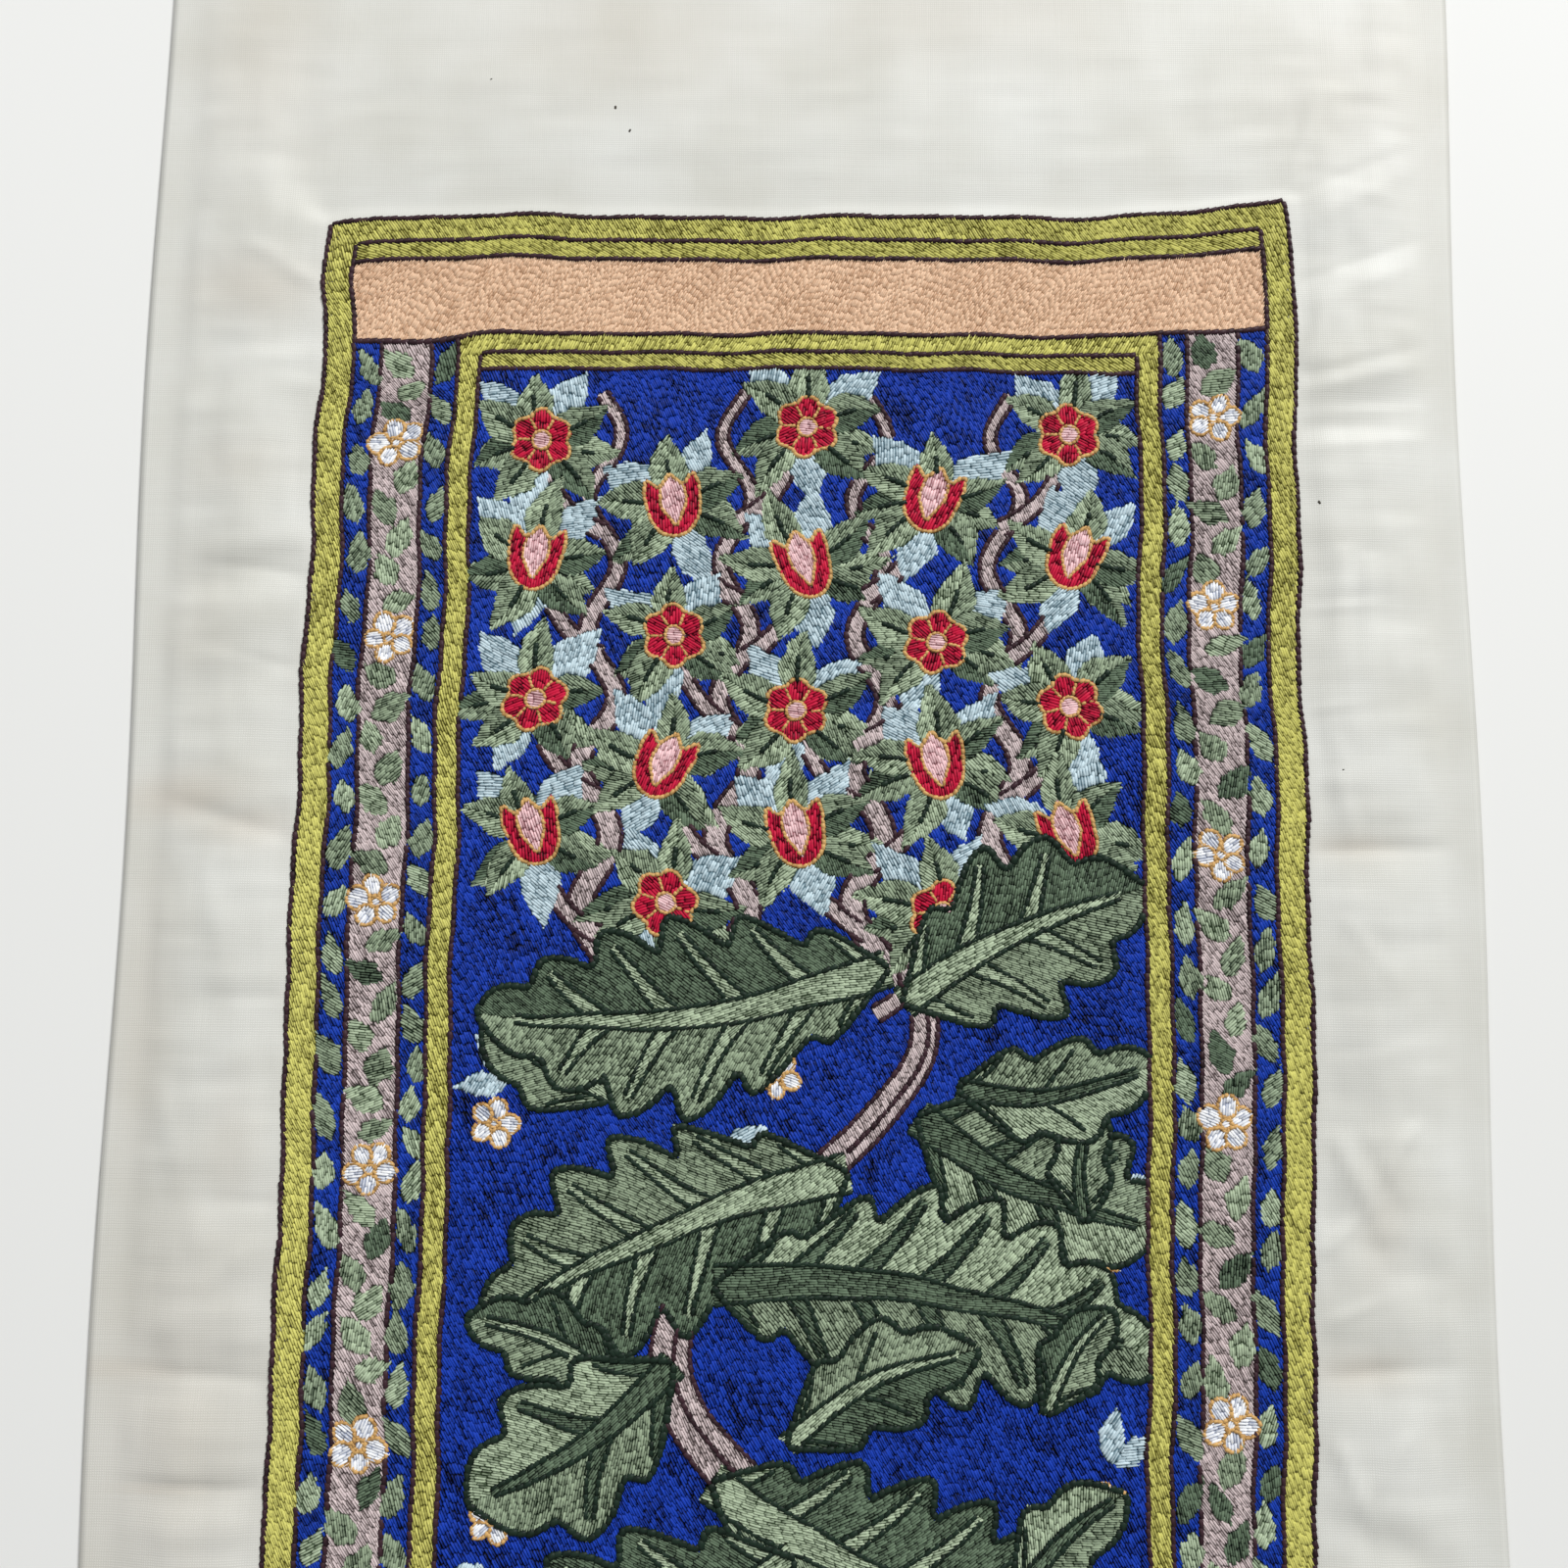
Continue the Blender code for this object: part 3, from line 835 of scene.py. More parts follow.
def draw_big_leaf(at, angle, length, width, bend, tones):
    """A broad leaf with swept lobes, two-toned about a tapering rib, with a rib to each lobe."""
    *halves, rib = tones
    lobes = max(2, round(length / LOBE_SPACING))
    t = np.linspace(0, 1, LOBE_POINTS * lobes)
    spine = np.stack([t * length, 2 * bend * length * t * (1 - t)], 1)
    along_lobe = t * lobes % 1
    rise = np.sin(math.pi / 2 * np.minimum(along_lobe / LOBE_TIP, 1)) ** 0.8
    fall = np.clip((1 - along_lobe) / (1 - LOBE_TIP), 0, 1)
    swell = np.sin(math.pi * t ** 0.85).clip(0) ** 0.8
    half = width / 2 * swell * (NOTCH + (1 - NOTCH) * rise * fall)
    sweep = np.stack([half * LOBE_SWEEP, half], 1)
    left, right = spine + sweep, spine + sweep * (1, -1)
    for side, thread, slant in zip((left, right), halves, HALF_SLANTS):
        half_leaf = turned(np.vstack([side, spine[::-1]]), at, angle)
        draw_patch(half_leaf, thread, angle + slant, field_cells)
    for lobe in range(lobes - 1):
        root, tip_place = (int(LOBE_POINTS * (lobe + share)) for share in (VEIN_ROOT, LOBE_TIP))
        for edge, sign in ((left, 1), (right, -1)):
            tip = spine[root] + (edge[tip_place] - spine[root]) * VEIN_REACH
            bow = np.array((0.0, -sign * VEIN_BOW * LOBE_SPACING))
            vein = smooth(turned([spine[root], (spine[root] + tip) / 2 + bow, tip], at, angle))
            if width > LOBE_SPACING * 2:
                draw_tapered(vein, *VEIN_HALVES, rib, angle + VEIN_SLANT * sign, "dark_green")
            else:
                draw_line(vein, "dark_green", within=field_cells)
    ridge = turned(spine[:int(RIB_REACH * len(spine))], at, angle)
    rib_half = width * RIB_SHARE
    draw_tapered(ridge, rib_half, RIB_TIP_HALF, rib, angle + RIB_SLANT, "dark_green")
    outline = turned(closed(np.vstack([left, right[::-1]])), at, angle)
    draw_line(outline, "dark_green", LEAF_EDGE_WIDTH, within=field_cells)


# Width of each line of a blossom and how far apart its stitches are
BLOSSOM_LINE = (1.0, 1.2)
INNER_LINE = (0.85, 1.1)
CLEFT_LINE = (0.8, 1.0)
PINK_EYE_LINE = (0.8, 0.9)
ROSETTE_PETALS = 6
PETAL_POINTS = 12


def draw_tulip(at, angle, size):
    """A cup seen from the side: a pink petal between two red ones. Its points are shares of its size."""
    cup_angle = np.linspace(math.pi, 2 * math.pi, 14)
    cup = np.stack([0.42 * np.cos(cup_angle), 0.50 * np.sin(cup_angle)], 1)
    rim = [(0.46, 0.30), (0.40, 0.56), (0.20, 0.34), (0.0, 0.60)]
    rim += [(-x, y) for x, y in rim[2::-1]]
    whole = turned(np.vstack([cup, rim]) * size, at, angle)
    draw_patch(whole, "red", angle + 82, field_cells)
    petal = [(0.0, 0.60), (0.20, 0.34), (0.21, 0.05), (0.0, -0.34), (-0.21, 0.05), (-0.20, 0.34)]
    inner = turned(np.array(petal) * size, at, angle)
    draw_patch(inner, "pink", angle + 95, field_cells)
    draw_line(closed(inner), "ochre", *INNER_LINE, field_cells)
    draw_line(closed(whole), "ochre", *BLOSSOM_LINE, field_cells)


def draw_rosette(at, angle, size):
    """A round flower seen from the front: six red petals about a pink eye."""
    a = np.linspace(0, 2 * math.pi, ROSETTE_PETALS * PETAL_POINTS, endpoint=False)
    r = size * (0.40 + 0.13 * np.abs(np.sin(ROSETTE_PETALS / 2 * a)))
    edge = np.stack([r * np.cos(a), r * np.sin(a)], 1)
    draw_patch(turned(edge, at, angle), "red", angle, field_cells)
    for k in range(ROSETTE_PETALS):
        first, last = PETAL_POINTS * k, PETAL_POINTS * (k + 1)
        petal = np.vstack([(0, 0), edge[first:last], edge[last % len(edge)]])
        middle = angle + 360 / ROSETTE_PETALS * k + 180 / ROSETTE_PETALS
        draw_patch(turned(petal, at, angle), "red", middle, field_cells)
        cleft = turned([edge[first] * 0.45, edge[first]], at, angle)
        draw_line(cleft, "ochre", *CLEFT_LINE, field_cells)
    eye = ellipse(size * 0.16, size * 0.16, 16) + np.asarray(at)
    draw_patch(eye, "pink", angle, field_cells)
    draw_line(closed(eye), "ochre", *PINK_EYE_LINE, field_cells)
    draw_line(closed(turned(edge, at, angle)), "ochre", *BLOSSOM_LINE, field_cells)


# Round each blossom, the ways that its pale petals and its green leaves point. Then, of each: how
# far it strays, and as shares of the sprig's size, how far out it starts, its length and its width
PETAL_TURNS = (50, 134, 268)
PETAL_SHAPE = (14, 0.20, (0.92, 1.20), (0.52, 0.68))
LEAF_TURNS = (-18, 202, 234, 322, 92, 24, 160)
LEAF_SHAPE = (12, 0.12, (0.88, 1.16), (0.48, 0.60))
LEAF_BEND = 0.12
BLOSSOM_SHARE = 0.88
# Each leaf's thread and that of its shaded half, by turns
LEAF_TONES = (("sage", "moss"), ("moss", "pine"))


def round_blossom(at, angle, size, turn, shape):
    """Centre, angle, length and width of a petal or leaf that grows out from under a blossom."""
    stray, start, lengths, widths = shape
    turn = turn + rng.uniform(-stray, stray)
    length = size * rng.uniform(*lengths)
    centre = turned([(size * start + length / 2, 0)], at, angle + turn)[0]
    return centre, angle + turn, length, size * rng.uniform(*widths)


def draw_sprig(at, angle, size, draw_blossom):
    """A blossom over pale-blue petals, on a twig of the stem beside it, with sage leaves."""
    lean = -math.copysign(TWIG_REACH, at[0])
    foot = np.add(at, (lean, -SPRIG_PITCH * 0.72))
    bend = np.add(at, (lean * 0.35, -SPRIG_PITCH * 0.45))
    draw_tapered(smooth([at, bend, foot]), *TWIG_HALVES)
    for turn in PETAL_TURNS:
        petal = round_blossom(at, angle, size, turn, PETAL_SHAPE)
        draw_leaf(*petal, "pale_blue", within=field_cells)
    for number, turn in enumerate(LEAF_TURNS):
        leaf = round_blossom(at, angle, size, turn, LEAF_SHAPE)
        bow = rng.choice((-LEAF_BEND, LEAF_BEND))
        light, dark = LEAF_TONES[number % 2]
        draw_leaf(*leaf, light, bow, dark, field_cells)
    draw_blossom(at, angle, size * BLOSSOM_SHARE)


def draw_field():
    """The stems are under the sprigs, and the big leaves are over all."""
    down = np.arange(STEM_TOP, STEM_FOOT, STEM_STEP)
    middle = STEM_SWING * np.sin(2 * math.pi * (down - STEM_CROSSES_MIDDLE) / STEM_WAVE)
    stem = np.stack([middle, -down], 1)
    draw_tapered(stem, *STEM_HALVES)
    draw_line(stem + (STEM_CORE, 0), "plum", within=field_cells)
    last_sprig = FIRST_SPRIG + SPRIG_PITCH * SPRIG_ROWS
    climb = np.arange(FIRST_SPRIG - CLIMB_ABOVE, last_sprig + CLIMB_BELOW, STEM_STEP)
    swing = CLIMB_SWING * np.cos(2 * math.pi * (climb - FIRST_SPRIG) / SPRIG_PITCH)
    for number, (left, right) in enumerate(zip(SPRIG_COLUMNS, SPRIG_COLUMNS[1:])):
        across = (left + right) / 2 + swing * (-1) ** number
        draw_tapered(np.stack([across, -climb], 1), *CLIMB_HALVES)
    for number, column in enumerate(SPRIG_COLUMNS):
        for row in range(SPRIG_ROWS):
            place = FIRST_SPRIG + SPRIG_PITCH * (row + 0.5 * (number % 2))
            at = (column + rng.uniform(-1.5, 1.5), -place + rng.uniform(-2, 2))
            blossom = draw_tulip if (number + row) % 2 else draw_rosette
            draw_sprig(at, rng.uniform(-24, 24), SPRIG_SIZE, blossom)
    for x, place, angle in FILLING_LEAVES:
        for turn in FILLING_TURNS:
            centre = turned([(FILLING_LEAF_OUT, 0)], (x, -place), angle + turn)[0]
            draw_leaf(centre, angle + turn, *FILLING_LEAF_SIZE, "pale_blue", within=field_cells)
    for x, place in FILLING_FLOWERS:
        draw_white_flower((x, -place), FILLING_RADIUS, rng.uniform(0, 72), field_cells)
    for x, place, angle, length, width, bend, tone in BIG_LEAVES:
        draw_big_leaf((x, -place), angle, length, width, bend, TONES[tone])


draw_field()

# The fillings are worked by hand in rows of short straight stitches, close enough to hide the cloth,
# in two strands of silky cotton. Each stitch is a plump lens that dives into the cloth at its ends.
STITCH_OVERLAP = 0.6
WIDTH_TO_PITCH = 1.45
STITCH_HEIGHT = 0.5
SHOULDER = 0.2
STITCH_SINK = 0.06
FOOT_HEIGHT = BACKED_HEIGHT - STITCH_SINK
# How rows of stitches sway as they are worked: size, and the waves' lengths across and down
SWAYS = ((0.9, 71, 83), (0.3, 37, -47))
# A row that crosses less than this of a shape gets no stitch there, and a stitch shorter than the
# second length is drawn narrower still
SHORTEST_RUN = 0.4
SHORTEST_STITCH = 0.3
# How uneven the hand is: as shares of a stitch's length, how far a cut strays and how near an end
# it may be, then how ragged a shape's edge is and how far a stitch drifts out of its row
CUT_STRAY = 0.14
NEAREST_CUT = 0.45
RAGGED_EDGE = 0.62
ROW_DRIFT = 0.05
WIDTHS_VARY = (0.88, 1.12)
HEIGHTS_VARY = (0.82, 1.18)
# A short stitch is drawn tighter: its least share of the width, and what each millimetre adds
NARROWEST = 0.6
WIDENING = 0.3
# Thread, its dark and light shade (the dark one shows mostly in the painted shade on the stitches'
# sides), how high its stitches stand, how far apart and how long they are, and how much its shade
# drifts along the hank
THREADS = {
    "green": ("#605B1E", "#D8D476", 1.0, 0.51, 2.7, 0.45),
    "peach": ("#BA9373", "#E7C5A6", 0.9, 0.46, 1.9, 0.4),
    "mauve": ("#5F5352", "#DECDCC", 1.0, 0.49, 2.7, 0.5),
    "blue_strip": ("#00000A", "#1C42B0", 0.95, 0.54, 2.4, 1.1),
    "blue_field": ("#00000C", "#1C42B4", 0.95, 0.54, 2.5, 1.15),
    "sage": ("#36462F", "#B8C8AA", 1.05, 0.53, 2.4, 0.8),
    "moss": ("#1D2C1C", "#9DAD91", 1.05, 0.53, 2.3, 0.9),
    "pine": ("#0C170F", "#6A7D66", 1.05, 0.53, 2.1, 0.9),
    "pale_blue": ("#5B7682", "#CEE1E8", 1.05, 0.58, 2.5, 0.7),
    "red": ("#3A010C", "#CC1C42", 1.1, 0.6, 2.8, 0.8),
    "pink": ("#9C686E", "#F8D2D4", 1.1, 0.56, 2.5, 0.6),
    "white": ("#98A0B4", "#FDFEFF", 1.15, 0.6, 2.5, 0.4),
}
# How much of a thread's range of shades comes from the stitch's own tone, from the thread's
# fibres and from painted shade that darkens each stitch towards its sides and ends and lightens its
# ridge, and how dark that painted shade starts at the sides
OWN_SHADE = 0.8
FIBRE_SHADE = 1.2
RIDGE_PAINTED_SHADE = 1.15
VALLEY_PAINTED_SHADE = -0.1
RIDGE_GLOSS = 0.18
# The outer green bands are drawn paler further down: how much, and where down the outer bands that
# comes in and is complete
PALER_GREEN = 0.24
PALER_FROM = 60.0
PALER_TO = 160.0


def swayed(along, across, direction):
    """Places of a row of stitches on the plan, from along and across its own direction."""
    x = along * direction[0] - across * direction[1]
    y = along * direction[1] + across * direction[0]
    sway = sum(s * np.sin(2 * math.pi * (x / a + y / d)) for s, a, d in SWAYS)
    return x - sway * direction[1], y + sway * direction[0]


def shape_at(x, y, board):
    """What a board of cells holds at these places."""
    column = np.clip(np.floor((x + PANEL_HALF) / CELL).astype(int), 0, len(cell_x) - 1)
    row = np.clip(np.floor(-y / CELL).astype(int), 0, len(cell_y) - 1)
    return board[row, column]


def fill_rows(shapes, slant, low, high, pitch, advance):
    """Start and end of each stitch in rows at this slant through the given shapes."""
    direction = np.array((math.cos(math.radians(slant)), math.sin(math.radians(slant))))
    corners = np.array([(x, y) for x in (low[0], high[0]) for y in (low[1], high[1])])
    along = corners @ direction
    across = corners @ np.array((-direction[1], direction[0]))
    slack = sum(size for size, _, _ in SWAYS)
    steps = np.arange(along.min() - slack, along.max() + slack, CELL)
    rows = np.arange(across.min() - slack, across.max() + slack, pitch)
    rows = rows + rng.uniform(0, pitch)
    x, y = swayed(*np.meshgrid(steps, rows), direction)
    hit = np.isin(shape_at(x, y, drawn), shapes)
    hit &= (np.abs(x) < PANEL_HALF) & (y < 0) & (y > -PANEL_LENGTH)
    change = np.diff(np.pad(hit, ((0, 0), (1, 1))).astype(np.int8), axis=1)
    row, first = np.nonzero(change == 1)
    last = np.nonzero(change == -1)[1]
    start = steps[first]
    end = steps[last - 1] + CELL
    keep = end - start > SHORTEST_RUN
    row, start, end = row[keep], start[keep], end[keep]
    return cut_runs(rows[row], start, end, direction, advance)


def cut_runs(level, start, end, direction, advance):
    """Cuts each run into stitches, out of step with the next row and not near its ends."""
    counts = np.floor((end - start) / advance).astype(int) + 1
    runs = np.arange(len(start))
    run_of_cut = np.repeat(runs, counts)
    number = np.arange(len(run_of_cut)) - np.repeat(np.cumsum(counts) - counts, counts)
    phase = rng.uniform(0, 1, len(start))[run_of_cut]
    stray = rng.uniform(-CUT_STRAY, CUT_STRAY, len(run_of_cut))
    cut = start[run_of_cut] + (number + phase + stray) * advance
    margin = NEAREST_CUT * advance
    inside = (cut > start[run_of_cut] + margin) & (cut < end[run_of_cut] - margin)
    owner = np.concatenate([runs, run_of_cut[inside], runs])
    place = np.concatenate([start, cut[inside], end])
    is_cut = np.concatenate([0 * start, 0 * cut[inside] + 1, 0 * end])
    order = np.lexsort((place, owner))
    owner, place, is_cut = owner[order], place[order], is_cut[order]
    same = np.nonzero(owner[:-1] == owner[1:])[0]
    ragged = rng.uniform(0.0, RAGGED_EDGE, (2, len(same)))
    begin = place[same] - np.where(is_cut[same] > 0, STITCH_OVERLAP / 2, ragged[0])
    finish = place[same + 1] + np.where(is_cut[same + 1] > 0, STITCH_OVERLAP / 2, ragged[1])
    drift = rng.normal(0, ROW_DRIFT, (2, len(same)))
    starts = np.stack(swayed(begin, level[owner[same]] + drift[0], direction), 1)
    ends = np.stack(swayed(finish, level[owner[same]] + drift[1], direction), 1)
    return starts, ends


# Half a stitch's section, across and up: a simple one, and a round one for a twisted rope
SIMPLE = ((0.5, 0), (0, 1), (-0.5, 0))
ROUND = ((0.5, 0), (0.4, 0.72), (0, 1), (-0.4, 0.72), (-0.5, 0))


def stitch_piece(name, stitches, width, height, material, section=SIMPLE, foot=FOOT_HEIGHT, paler=0.0):
    """Lens-shaped stitches, open below, with a random tone kept on each, and each point's height share,
    which the material uses for gloss and painted shade.
    """
    starts, ends = stitches
    count = len(starts)
    run = ends - starts
    length = np.maximum(np.hypot(*run.T), SHORTEST_STITCH)[:, None]
    sideways = np.stack([-run[:, 1], run[:, 0]], 1) / length
    narrowed = np.clip(NARROWEST + WIDENING * length, NARROWEST, 1)
    width = width * rng.uniform(*WIDTHS_VARY, (count, 1)) * narrowed
    height = height * rng.uniform(*HEIGHTS_VARY, (count, 1))
    # Share of the length, then of the width and of the height, at each of its points
    lens = [(0, 0, 0)]
    for share in (SHOULDER, 1 - SHOULDER):
        lens += [(share, across, rise) for across, rise in section]
    lens.append((1, 0, 0))
    plan = np.stack([starts + run * a + sideways * width * b for a, b, _ in lens], 1)
    levels = foot + height * np.array([rise for _, _, rise in lens])
    points = placed(plan[..., 0], plan[..., 1], levels)
    first = (np.arange(count) * len(lens))[:, None, None]
    sides = len(section)
    near = range(1, sides)
    triangles = [(0, k + 1, k) for k in near]
    triangles += [(2 * sides + 1, sides + k, sides + k + 1) for k in near]
    quads = [(k + 1, sides + k + 1, sides + k, k) for k in near]
    blocks = [(first + np.array(triangles)).reshape(-1, 3), (first + np.array(quads)).reshape(-1, 4)]
    piece = mesh_piece(name, points, blocks, material)
    tones = np.repeat(rng.uniform(0, 1, count) + paler, len(lens))
    # each point's height share, which the material turns into gloss and into painted shade
    ridges = np.tile([rise for _, _, rise in lens], count)
    for attribute, values in (("tone", tones), ("ridge", ridges)):
        made = piece.data.attributes.new(attribute, "FLOAT", "POINT")
        made.data.foreach_set("value", values.astype(np.float32))
    return piece


def stranded_cotton(name, dark, light, drift=0.5):
    """Mercerised cotton, each stitch in its own shade, with painted shade on its sides and ends and
    painted light on its ridge.
    """
    material, shader, place = new_material("stranded_cotton_" + name, roughness=0.48, sheen=0.0)
    tone = node(material, "ShaderNodeAttribute", {}, attribute_name="tone").outputs["Fac"]
    ridge = node(material, "ShaderNodeAttribute", {}, attribute_name="ridge").outputs["Fac"]
    gloss = node(material, "ShaderNodeMath", {0: ridge, 1: RIDGE_GLOSS}, operation="MULTIPLY")
    material.node_tree.links.new(gloss.outputs[0], shader.inputs["Specular IOR Level"])
    # the dye drifts along a hank, so the shade changes about every 9 mm
    hank = {"Vector": place, "Scale": 1 / (9 * MM), "Detail": 3.0}
    hank = node(material, "ShaderNodeTexNoise", hank).outputs["Fac"]
    # single fibres are too fine to show, so the tufts drawn for them are 0.9 mm wide
    fibre = {"Vector": place, "Scale": 1 / (0.9 * MM), "Detail": 1.0}
    fibre = node(material, "ShaderNodeTexNoise", fibre).outputs["Fac"]
    # the ridge weight is painted shade: each stitch is coloured darker towards its sides and ends, where
    # the valleys between stitches lie, and lighter on its top
    shade = VALLEY_PAINTED_SHADE - (OWN_SHADE + FIBRE_SHADE + drift) / 2
    weights = ((tone, OWN_SHADE), (hank, drift), (fibre, FIBRE_SHADE), (ridge, RIDGE_PAINTED_SHADE))
    for value, weight in weights:
        added = {0: value, 1: weight, 2: shade}
        shade = node(material, "ShaderNodeMath", added, operation="MULTIPLY_ADD").outputs[0]
    colour = {0: shade, 6: linear(dark), 7: linear(light)}
    colour = node(material, "ShaderNodeMix", colour, data_type="RGBA").outputs[2]
    material.node_tree.links.new(colour, shader.inputs["Base Color"])
    return material


for thread, (dark, light, height_share, pitch, advance, drift) in THREADS.items():
    groups = {}
    for number, (patch_thread, slant, low, high) in enumerate(patches):
        if patch_thread == thread:
            groups.setdefault(slant, []).append((number, low, high))
    found = []
    for slant, members in groups.items():
        numbers, lows, highs = zip(*members)
        low, high = np.min(lows, 0), np.max(highs, 0)
        found.append(fill_rows(numbers, slant, low, high, pitch, advance))
    starts, ends = (np.concatenate(column) for column in zip(*found))
    paler = 0.0
    if thread == "green":
        outer = np.abs(starts[:, 0]) > inset[1]
        paler = outer * np.interp(-starts[:, 1], (PALER_FROM, PALER_TO), (0, PALER_GREEN))
    material = stranded_cotton(thread, dark, light, drift)
    width = WIDTH_TO_PITCH * pitch
    height = STITCH_HEIGHT * height_share
    name = thread + "_stitching"
    piece = stitch_piece(name, (starts, ends), width, height, material, paler=paler)

# The cloth is thin and the stitches' backs show through it, so between the stitches it takes the
# darkest colour of their thread, darkened further as painted shade for the gaps that the stitches
# shadow. The place on the cloth tells which thread that is.
PAINTED_GAP_SHADE = 0.6
darkest = [linear(THREADS[thread][0]) for thread, *_ in patches]
gap_colour = np.array(darkest)[np.maximum(shape_at(ground_x, ground_y, drawn), 0)] * PAINTED_GAP_SHADE
gap_colour[:, 3] = is_covered(ground_x, ground_y)
thread_hue_and_painted_gap_shade = ground.data.color_attributes.new("thread_hue_and_painted_gap_shade", "FLOAT_COLOR", "POINT")
gap_shade_on_face = np.vstack([gap_colour, np.zeros_like(gap_colour)])
thread_hue_and_painted_gap_shade.data.foreach_set("color", gap_shade_on_face.astype(np.float32).ravel())

# The outlines are worked last, in stem stitch: each stitch starts beside the middle of the one
# before, so the line looks like a fine twisted rope that stands a little above the fillings.
OUTLINES = {
    "plum": ("#0C0507", "#3B252C"),
    "dark_green": ("#030905", "#1B2C21"),
    "ochre": ("#764C1C", "#CFA568"),
}
OUTLINE_HEIGHT = 0.72
# Length of a stitch over the distance to the next, and how far its ends lie to each side
OUTLINE_REACH = 1.5
OUTLINE_SLOPE = 0.16
OUTLINE_STRAY = 0.1
OUTLINE_DRIFT = 0.06
# A line's heading is taken between the places this far before and after
HEADING_SPAN = 0.3


def along_line(points, at):
    """Places at these distances along a line."""
    gaps = np.hypot(*np.diff(points, axis=0).T)
    so_far = np.concatenate([[0], np.cumsum(gaps)])
    return np.stack([np.interp(at, so_far, points[:, k]) for k in (0, 1)], 1)


def stem_stitches(points, width, step, within, order):
    """Start and end of each stitch along a line, where nothing drawn later covers it."""
    total = np.hypot(*np.diff(points, axis=0).T).sum()
    count = max(1, round(total / step))
    spacing = total / count
    stray = rng.uniform(-OUTLINE_STRAY, OUTLINE_STRAY, count)
    middle = (np.arange(count) + 0.5 + stray) * spacing
    ends = []
    for sign in (-1, 1):
        at = np.clip(middle + sign * spacing * OUTLINE_REACH / 2, 0, total)
        ahead = along_line(points, at + HEADING_SPAN) - along_line(points, at - HEADING_SPAN)
        ahead = ahead / np.maximum(np.hypot(*ahead.T), 1e-6)[:, None]
        side = sign * OUTLINE_SLOPE * width + rng.normal(0, OUTLINE_DRIFT, (count, 1))
        ends.append(along_line(points, at) + side * ahead[:, ::-1] * (-1, 1))
    x, y = along_line(points, middle).T
    shown = shape_at(x, y, drawn) < order
    if within is not None:
        shown &= shape_at(x, y, within)
    return ends[0][shown], ends[1][shown]


for thread, (dark, light) in OUTLINES.items():
    parts = []
    for points, line_thread, width, step, within, order in lines:
        if line_thread == thread:
            starts, ends = stem_stitches(points, width, step, within, order)
            parts.append((starts, ends, np.full((len(starts), 1), width)))
    starts, ends, widths = (np.concatenate(column) for column in zip(*parts))
    material = stranded_cotton(thread + "_outline", dark, light)
    height = OUTLINE_HEIGHT * np.clip(widths / OUTLINE_WIDTH, 0.9, 1.1)
    name = thread + "_outline"
    stitch_piece(name, (starts, ends), widths, height, material, ROUND)

# A few specks of dark lint have caught on the bare cloth: across and down, then size.
SPECKS = ((-45.5, 27, 1.0), (-42, 21.5, 1.0), (116, -66.5, 1.1), (-75, 34, 0.6), (119, -128, 0.5))
SPECK_WIDTH_SHARE = 0.7
SPECK_HEIGHT = 0.15
SPECK_SINK = 0.02
speck_x, speck_y, speck_size = (np.array(column) for column in zip(*SPECKS))
speck_turn = rng.uniform(0, math.pi, len(SPECKS))
half_run = np.stack([np.cos(speck_turn), np.sin(speck_turn)], 1) * speck_size[:, None] / 2
speck_at = np.stack([speck_x, speck_y], 1)
speck_foot = face_height(speck_x, speck_y)[:, None] - SPECK_SINK
speck_width = speck_size[:, None] * SPECK_WIDTH_SHARE
lint = stranded_cotton("lint", "#14120F", "#4A453C")
ends = (speck_at - half_run, speck_at + half_run)
specks = stitch_piece("dark_lint", ends, speck_width, SPECK_HEIGHT, lint, foot=speck_foot)

# The view is from nearly straight above, a little towards the foot, in soft daylight from the
# upper right. The cloth lies on a plain pale table top, which isn't part of it.
SHOWN_ACROSS = -3.8
SHOWN_DOWN = 131.8
DISTANCE = 325.6
TILT = math.radians(6.36)
ROLL = math.radians(0.5)
LENS = 33.75
FLOOR_HALF = 2.0
FLOOR_DROP = 0.2
# Where each light stands and how wide it is, in metres, and its power in watts
LIGHTS = {"window": ((1.5, 2.4, 2.0), 1.1, 112), "room_fill": ((-1.2, 1.0, 1.6), 1.6, 9)}
SKY_STRENGTH = 0.38


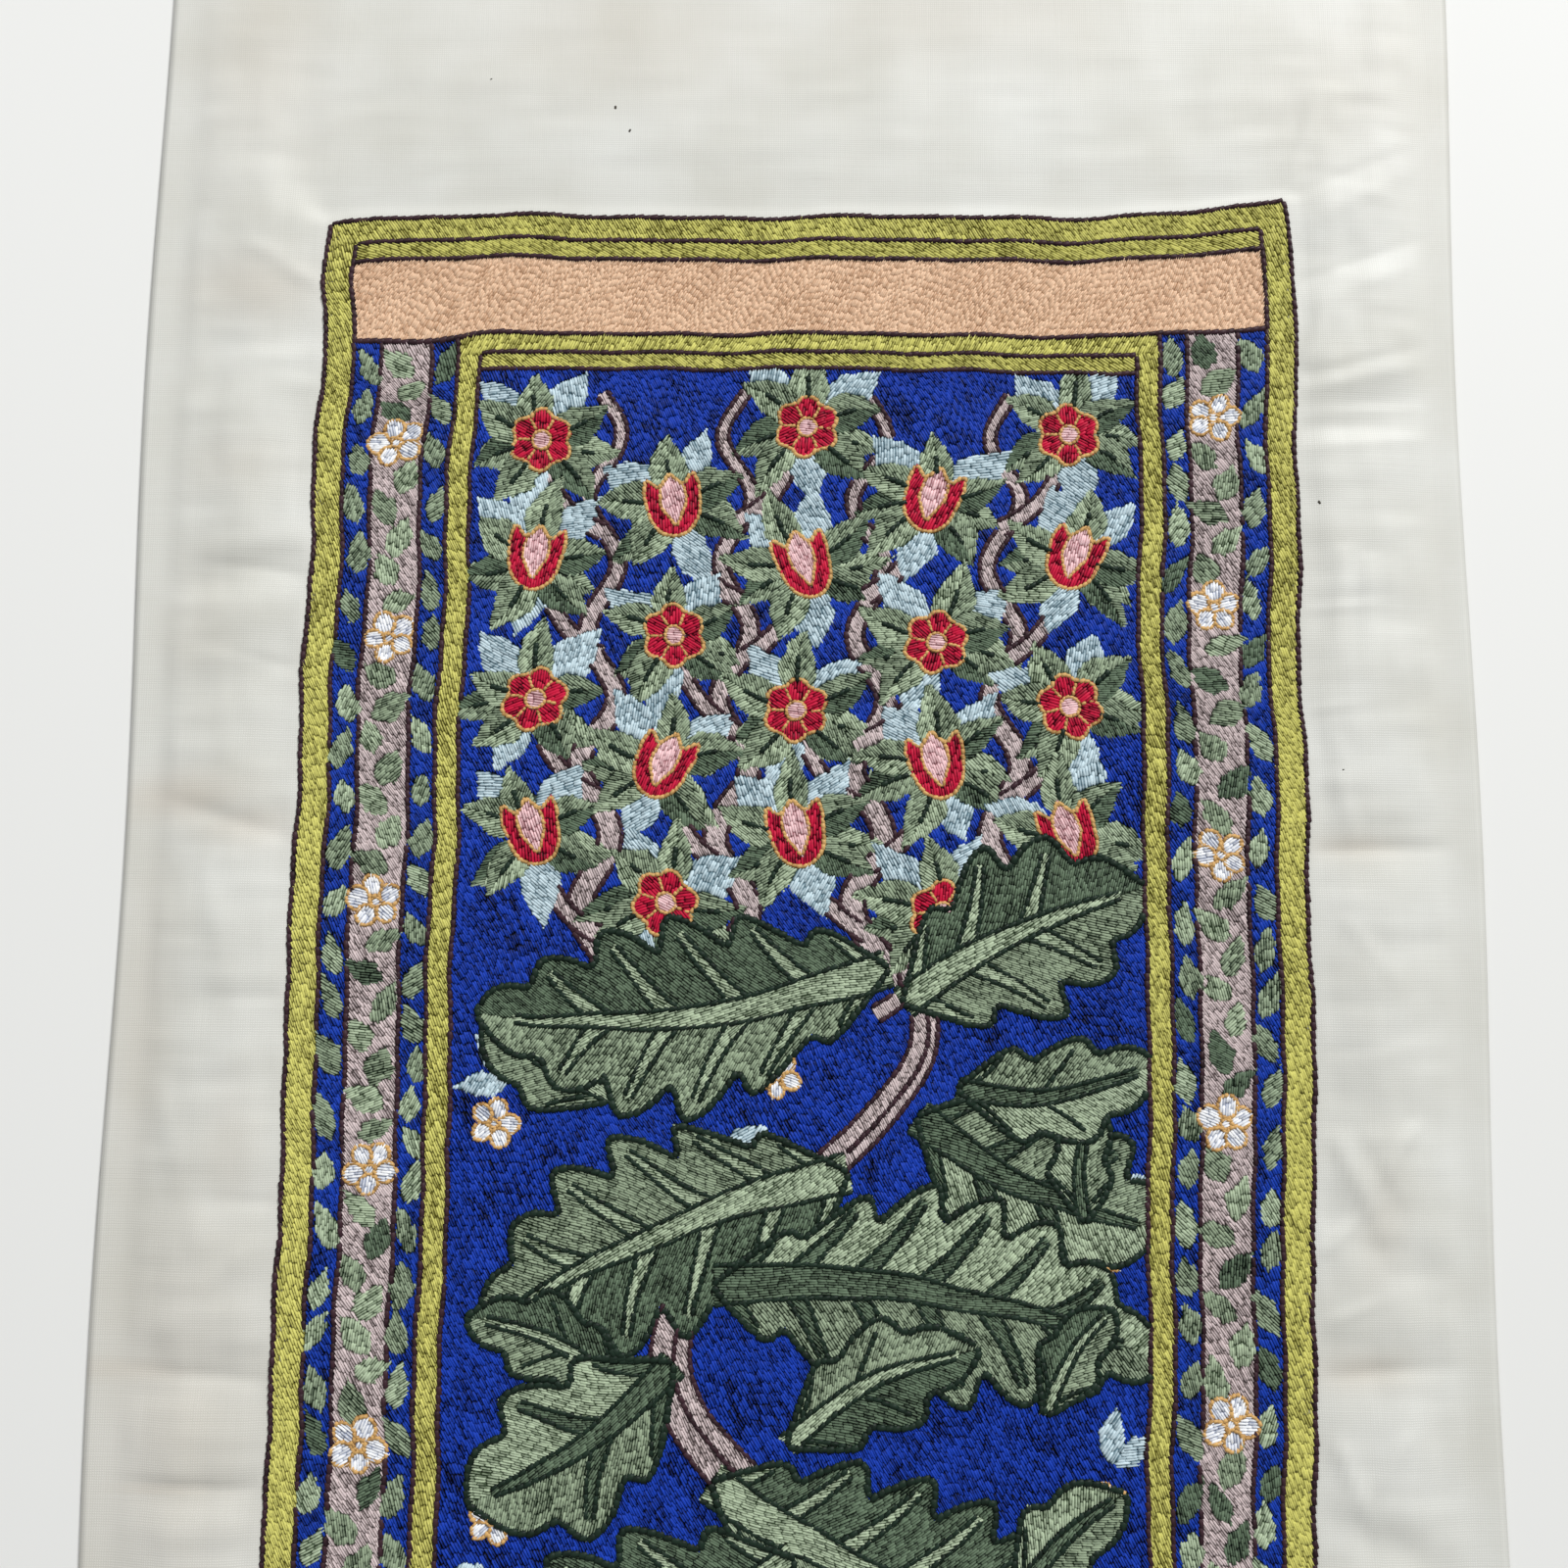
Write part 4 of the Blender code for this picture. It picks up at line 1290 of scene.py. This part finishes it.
def make_floor():
    """A table top of matt laminate, which looks plain and throws no reflections."""
    mesh = bpy.data.meshes.new("table_top")
    corners = [(x * FLOOR_HALF, y * FLOOR_HALF, 0) for x, y in ((-1, -1), (1, -1), (1, 1), (-1, 1))]
    mesh.from_pydata(corners, [], [(0, 1, 2, 3)])
    material, shader, _ = new_material("matt_white_laminate", roughness=0.7, sheen=0.0)
    shader.inputs["Base Color"].default_value = linear("#E9E9E6")
    mesh.materials.append(material)
    floor = bpy.data.objects.new("table_top", mesh)
    floor.location.z = -FLOOR_DROP * MM
    bpy.context.scene.collection.objects.link(floor)


def make_light(name, place, size, power):
    """A round soft light that faces the middle of the cloth."""
    data = bpy.data.lights.new(name, "AREA")
    data.shape = "DISK"
    data.size = size
    data.energy = power
    light = bpy.data.objects.new(name, data)
    back = np.array(place) / np.linalg.norm(place)
    right = np.cross((0, 1, 0), back)
    right = right / np.linalg.norm(right)
    turn = Matrix([right, np.cross(back, right), back]).transposed().to_4x4()
    light.matrix_world = Matrix.Translation(place) @ turn
    bpy.context.scene.collection.objects.link(light)


def make_camera():
    """It looks down on the head half of the panel, which runs out of the picture's foot."""
    data = bpy.data.cameras.new("camera")
    data.lens = LENS
    data.clip_start = 0.01
    camera = bpy.data.objects.new("camera", data)
    target = np.array((SHOWN_ACROSS, HEAD_UP - SHOWN_DOWN, BACKED_HEIGHT)) * MM
    back = np.array((0, -math.sin(TILT), math.cos(TILT)))
    up = np.array((0, math.cos(TILT), math.sin(TILT)))
    right = np.array((1.0, 0, 0))
    c, s = math.cos(ROLL), math.sin(ROLL)
    turn = Matrix([c * right + s * up, c * up - s * right, back]).transposed().to_4x4()
    camera.matrix_world = Matrix.Translation(target + back * DISTANCE * MM) @ turn
    bpy.context.scene.collection.objects.link(camera)
    bpy.context.scene.camera = camera


make_floor()
for name, (place, size, power) in LIGHTS.items():
    make_light(name, place, size, power)
world = bpy.data.worlds.new("pale_room")
world.use_nodes = True
sky = world.node_tree.nodes["Background"]
sky.inputs["Color"].default_value = linear("#F4F6F8")
sky.inputs["Strength"].default_value = SKY_STRENGTH
bpy.context.scene.world = world
bpy.context.scene.view_settings.view_transform = "Standard"
make_camera()
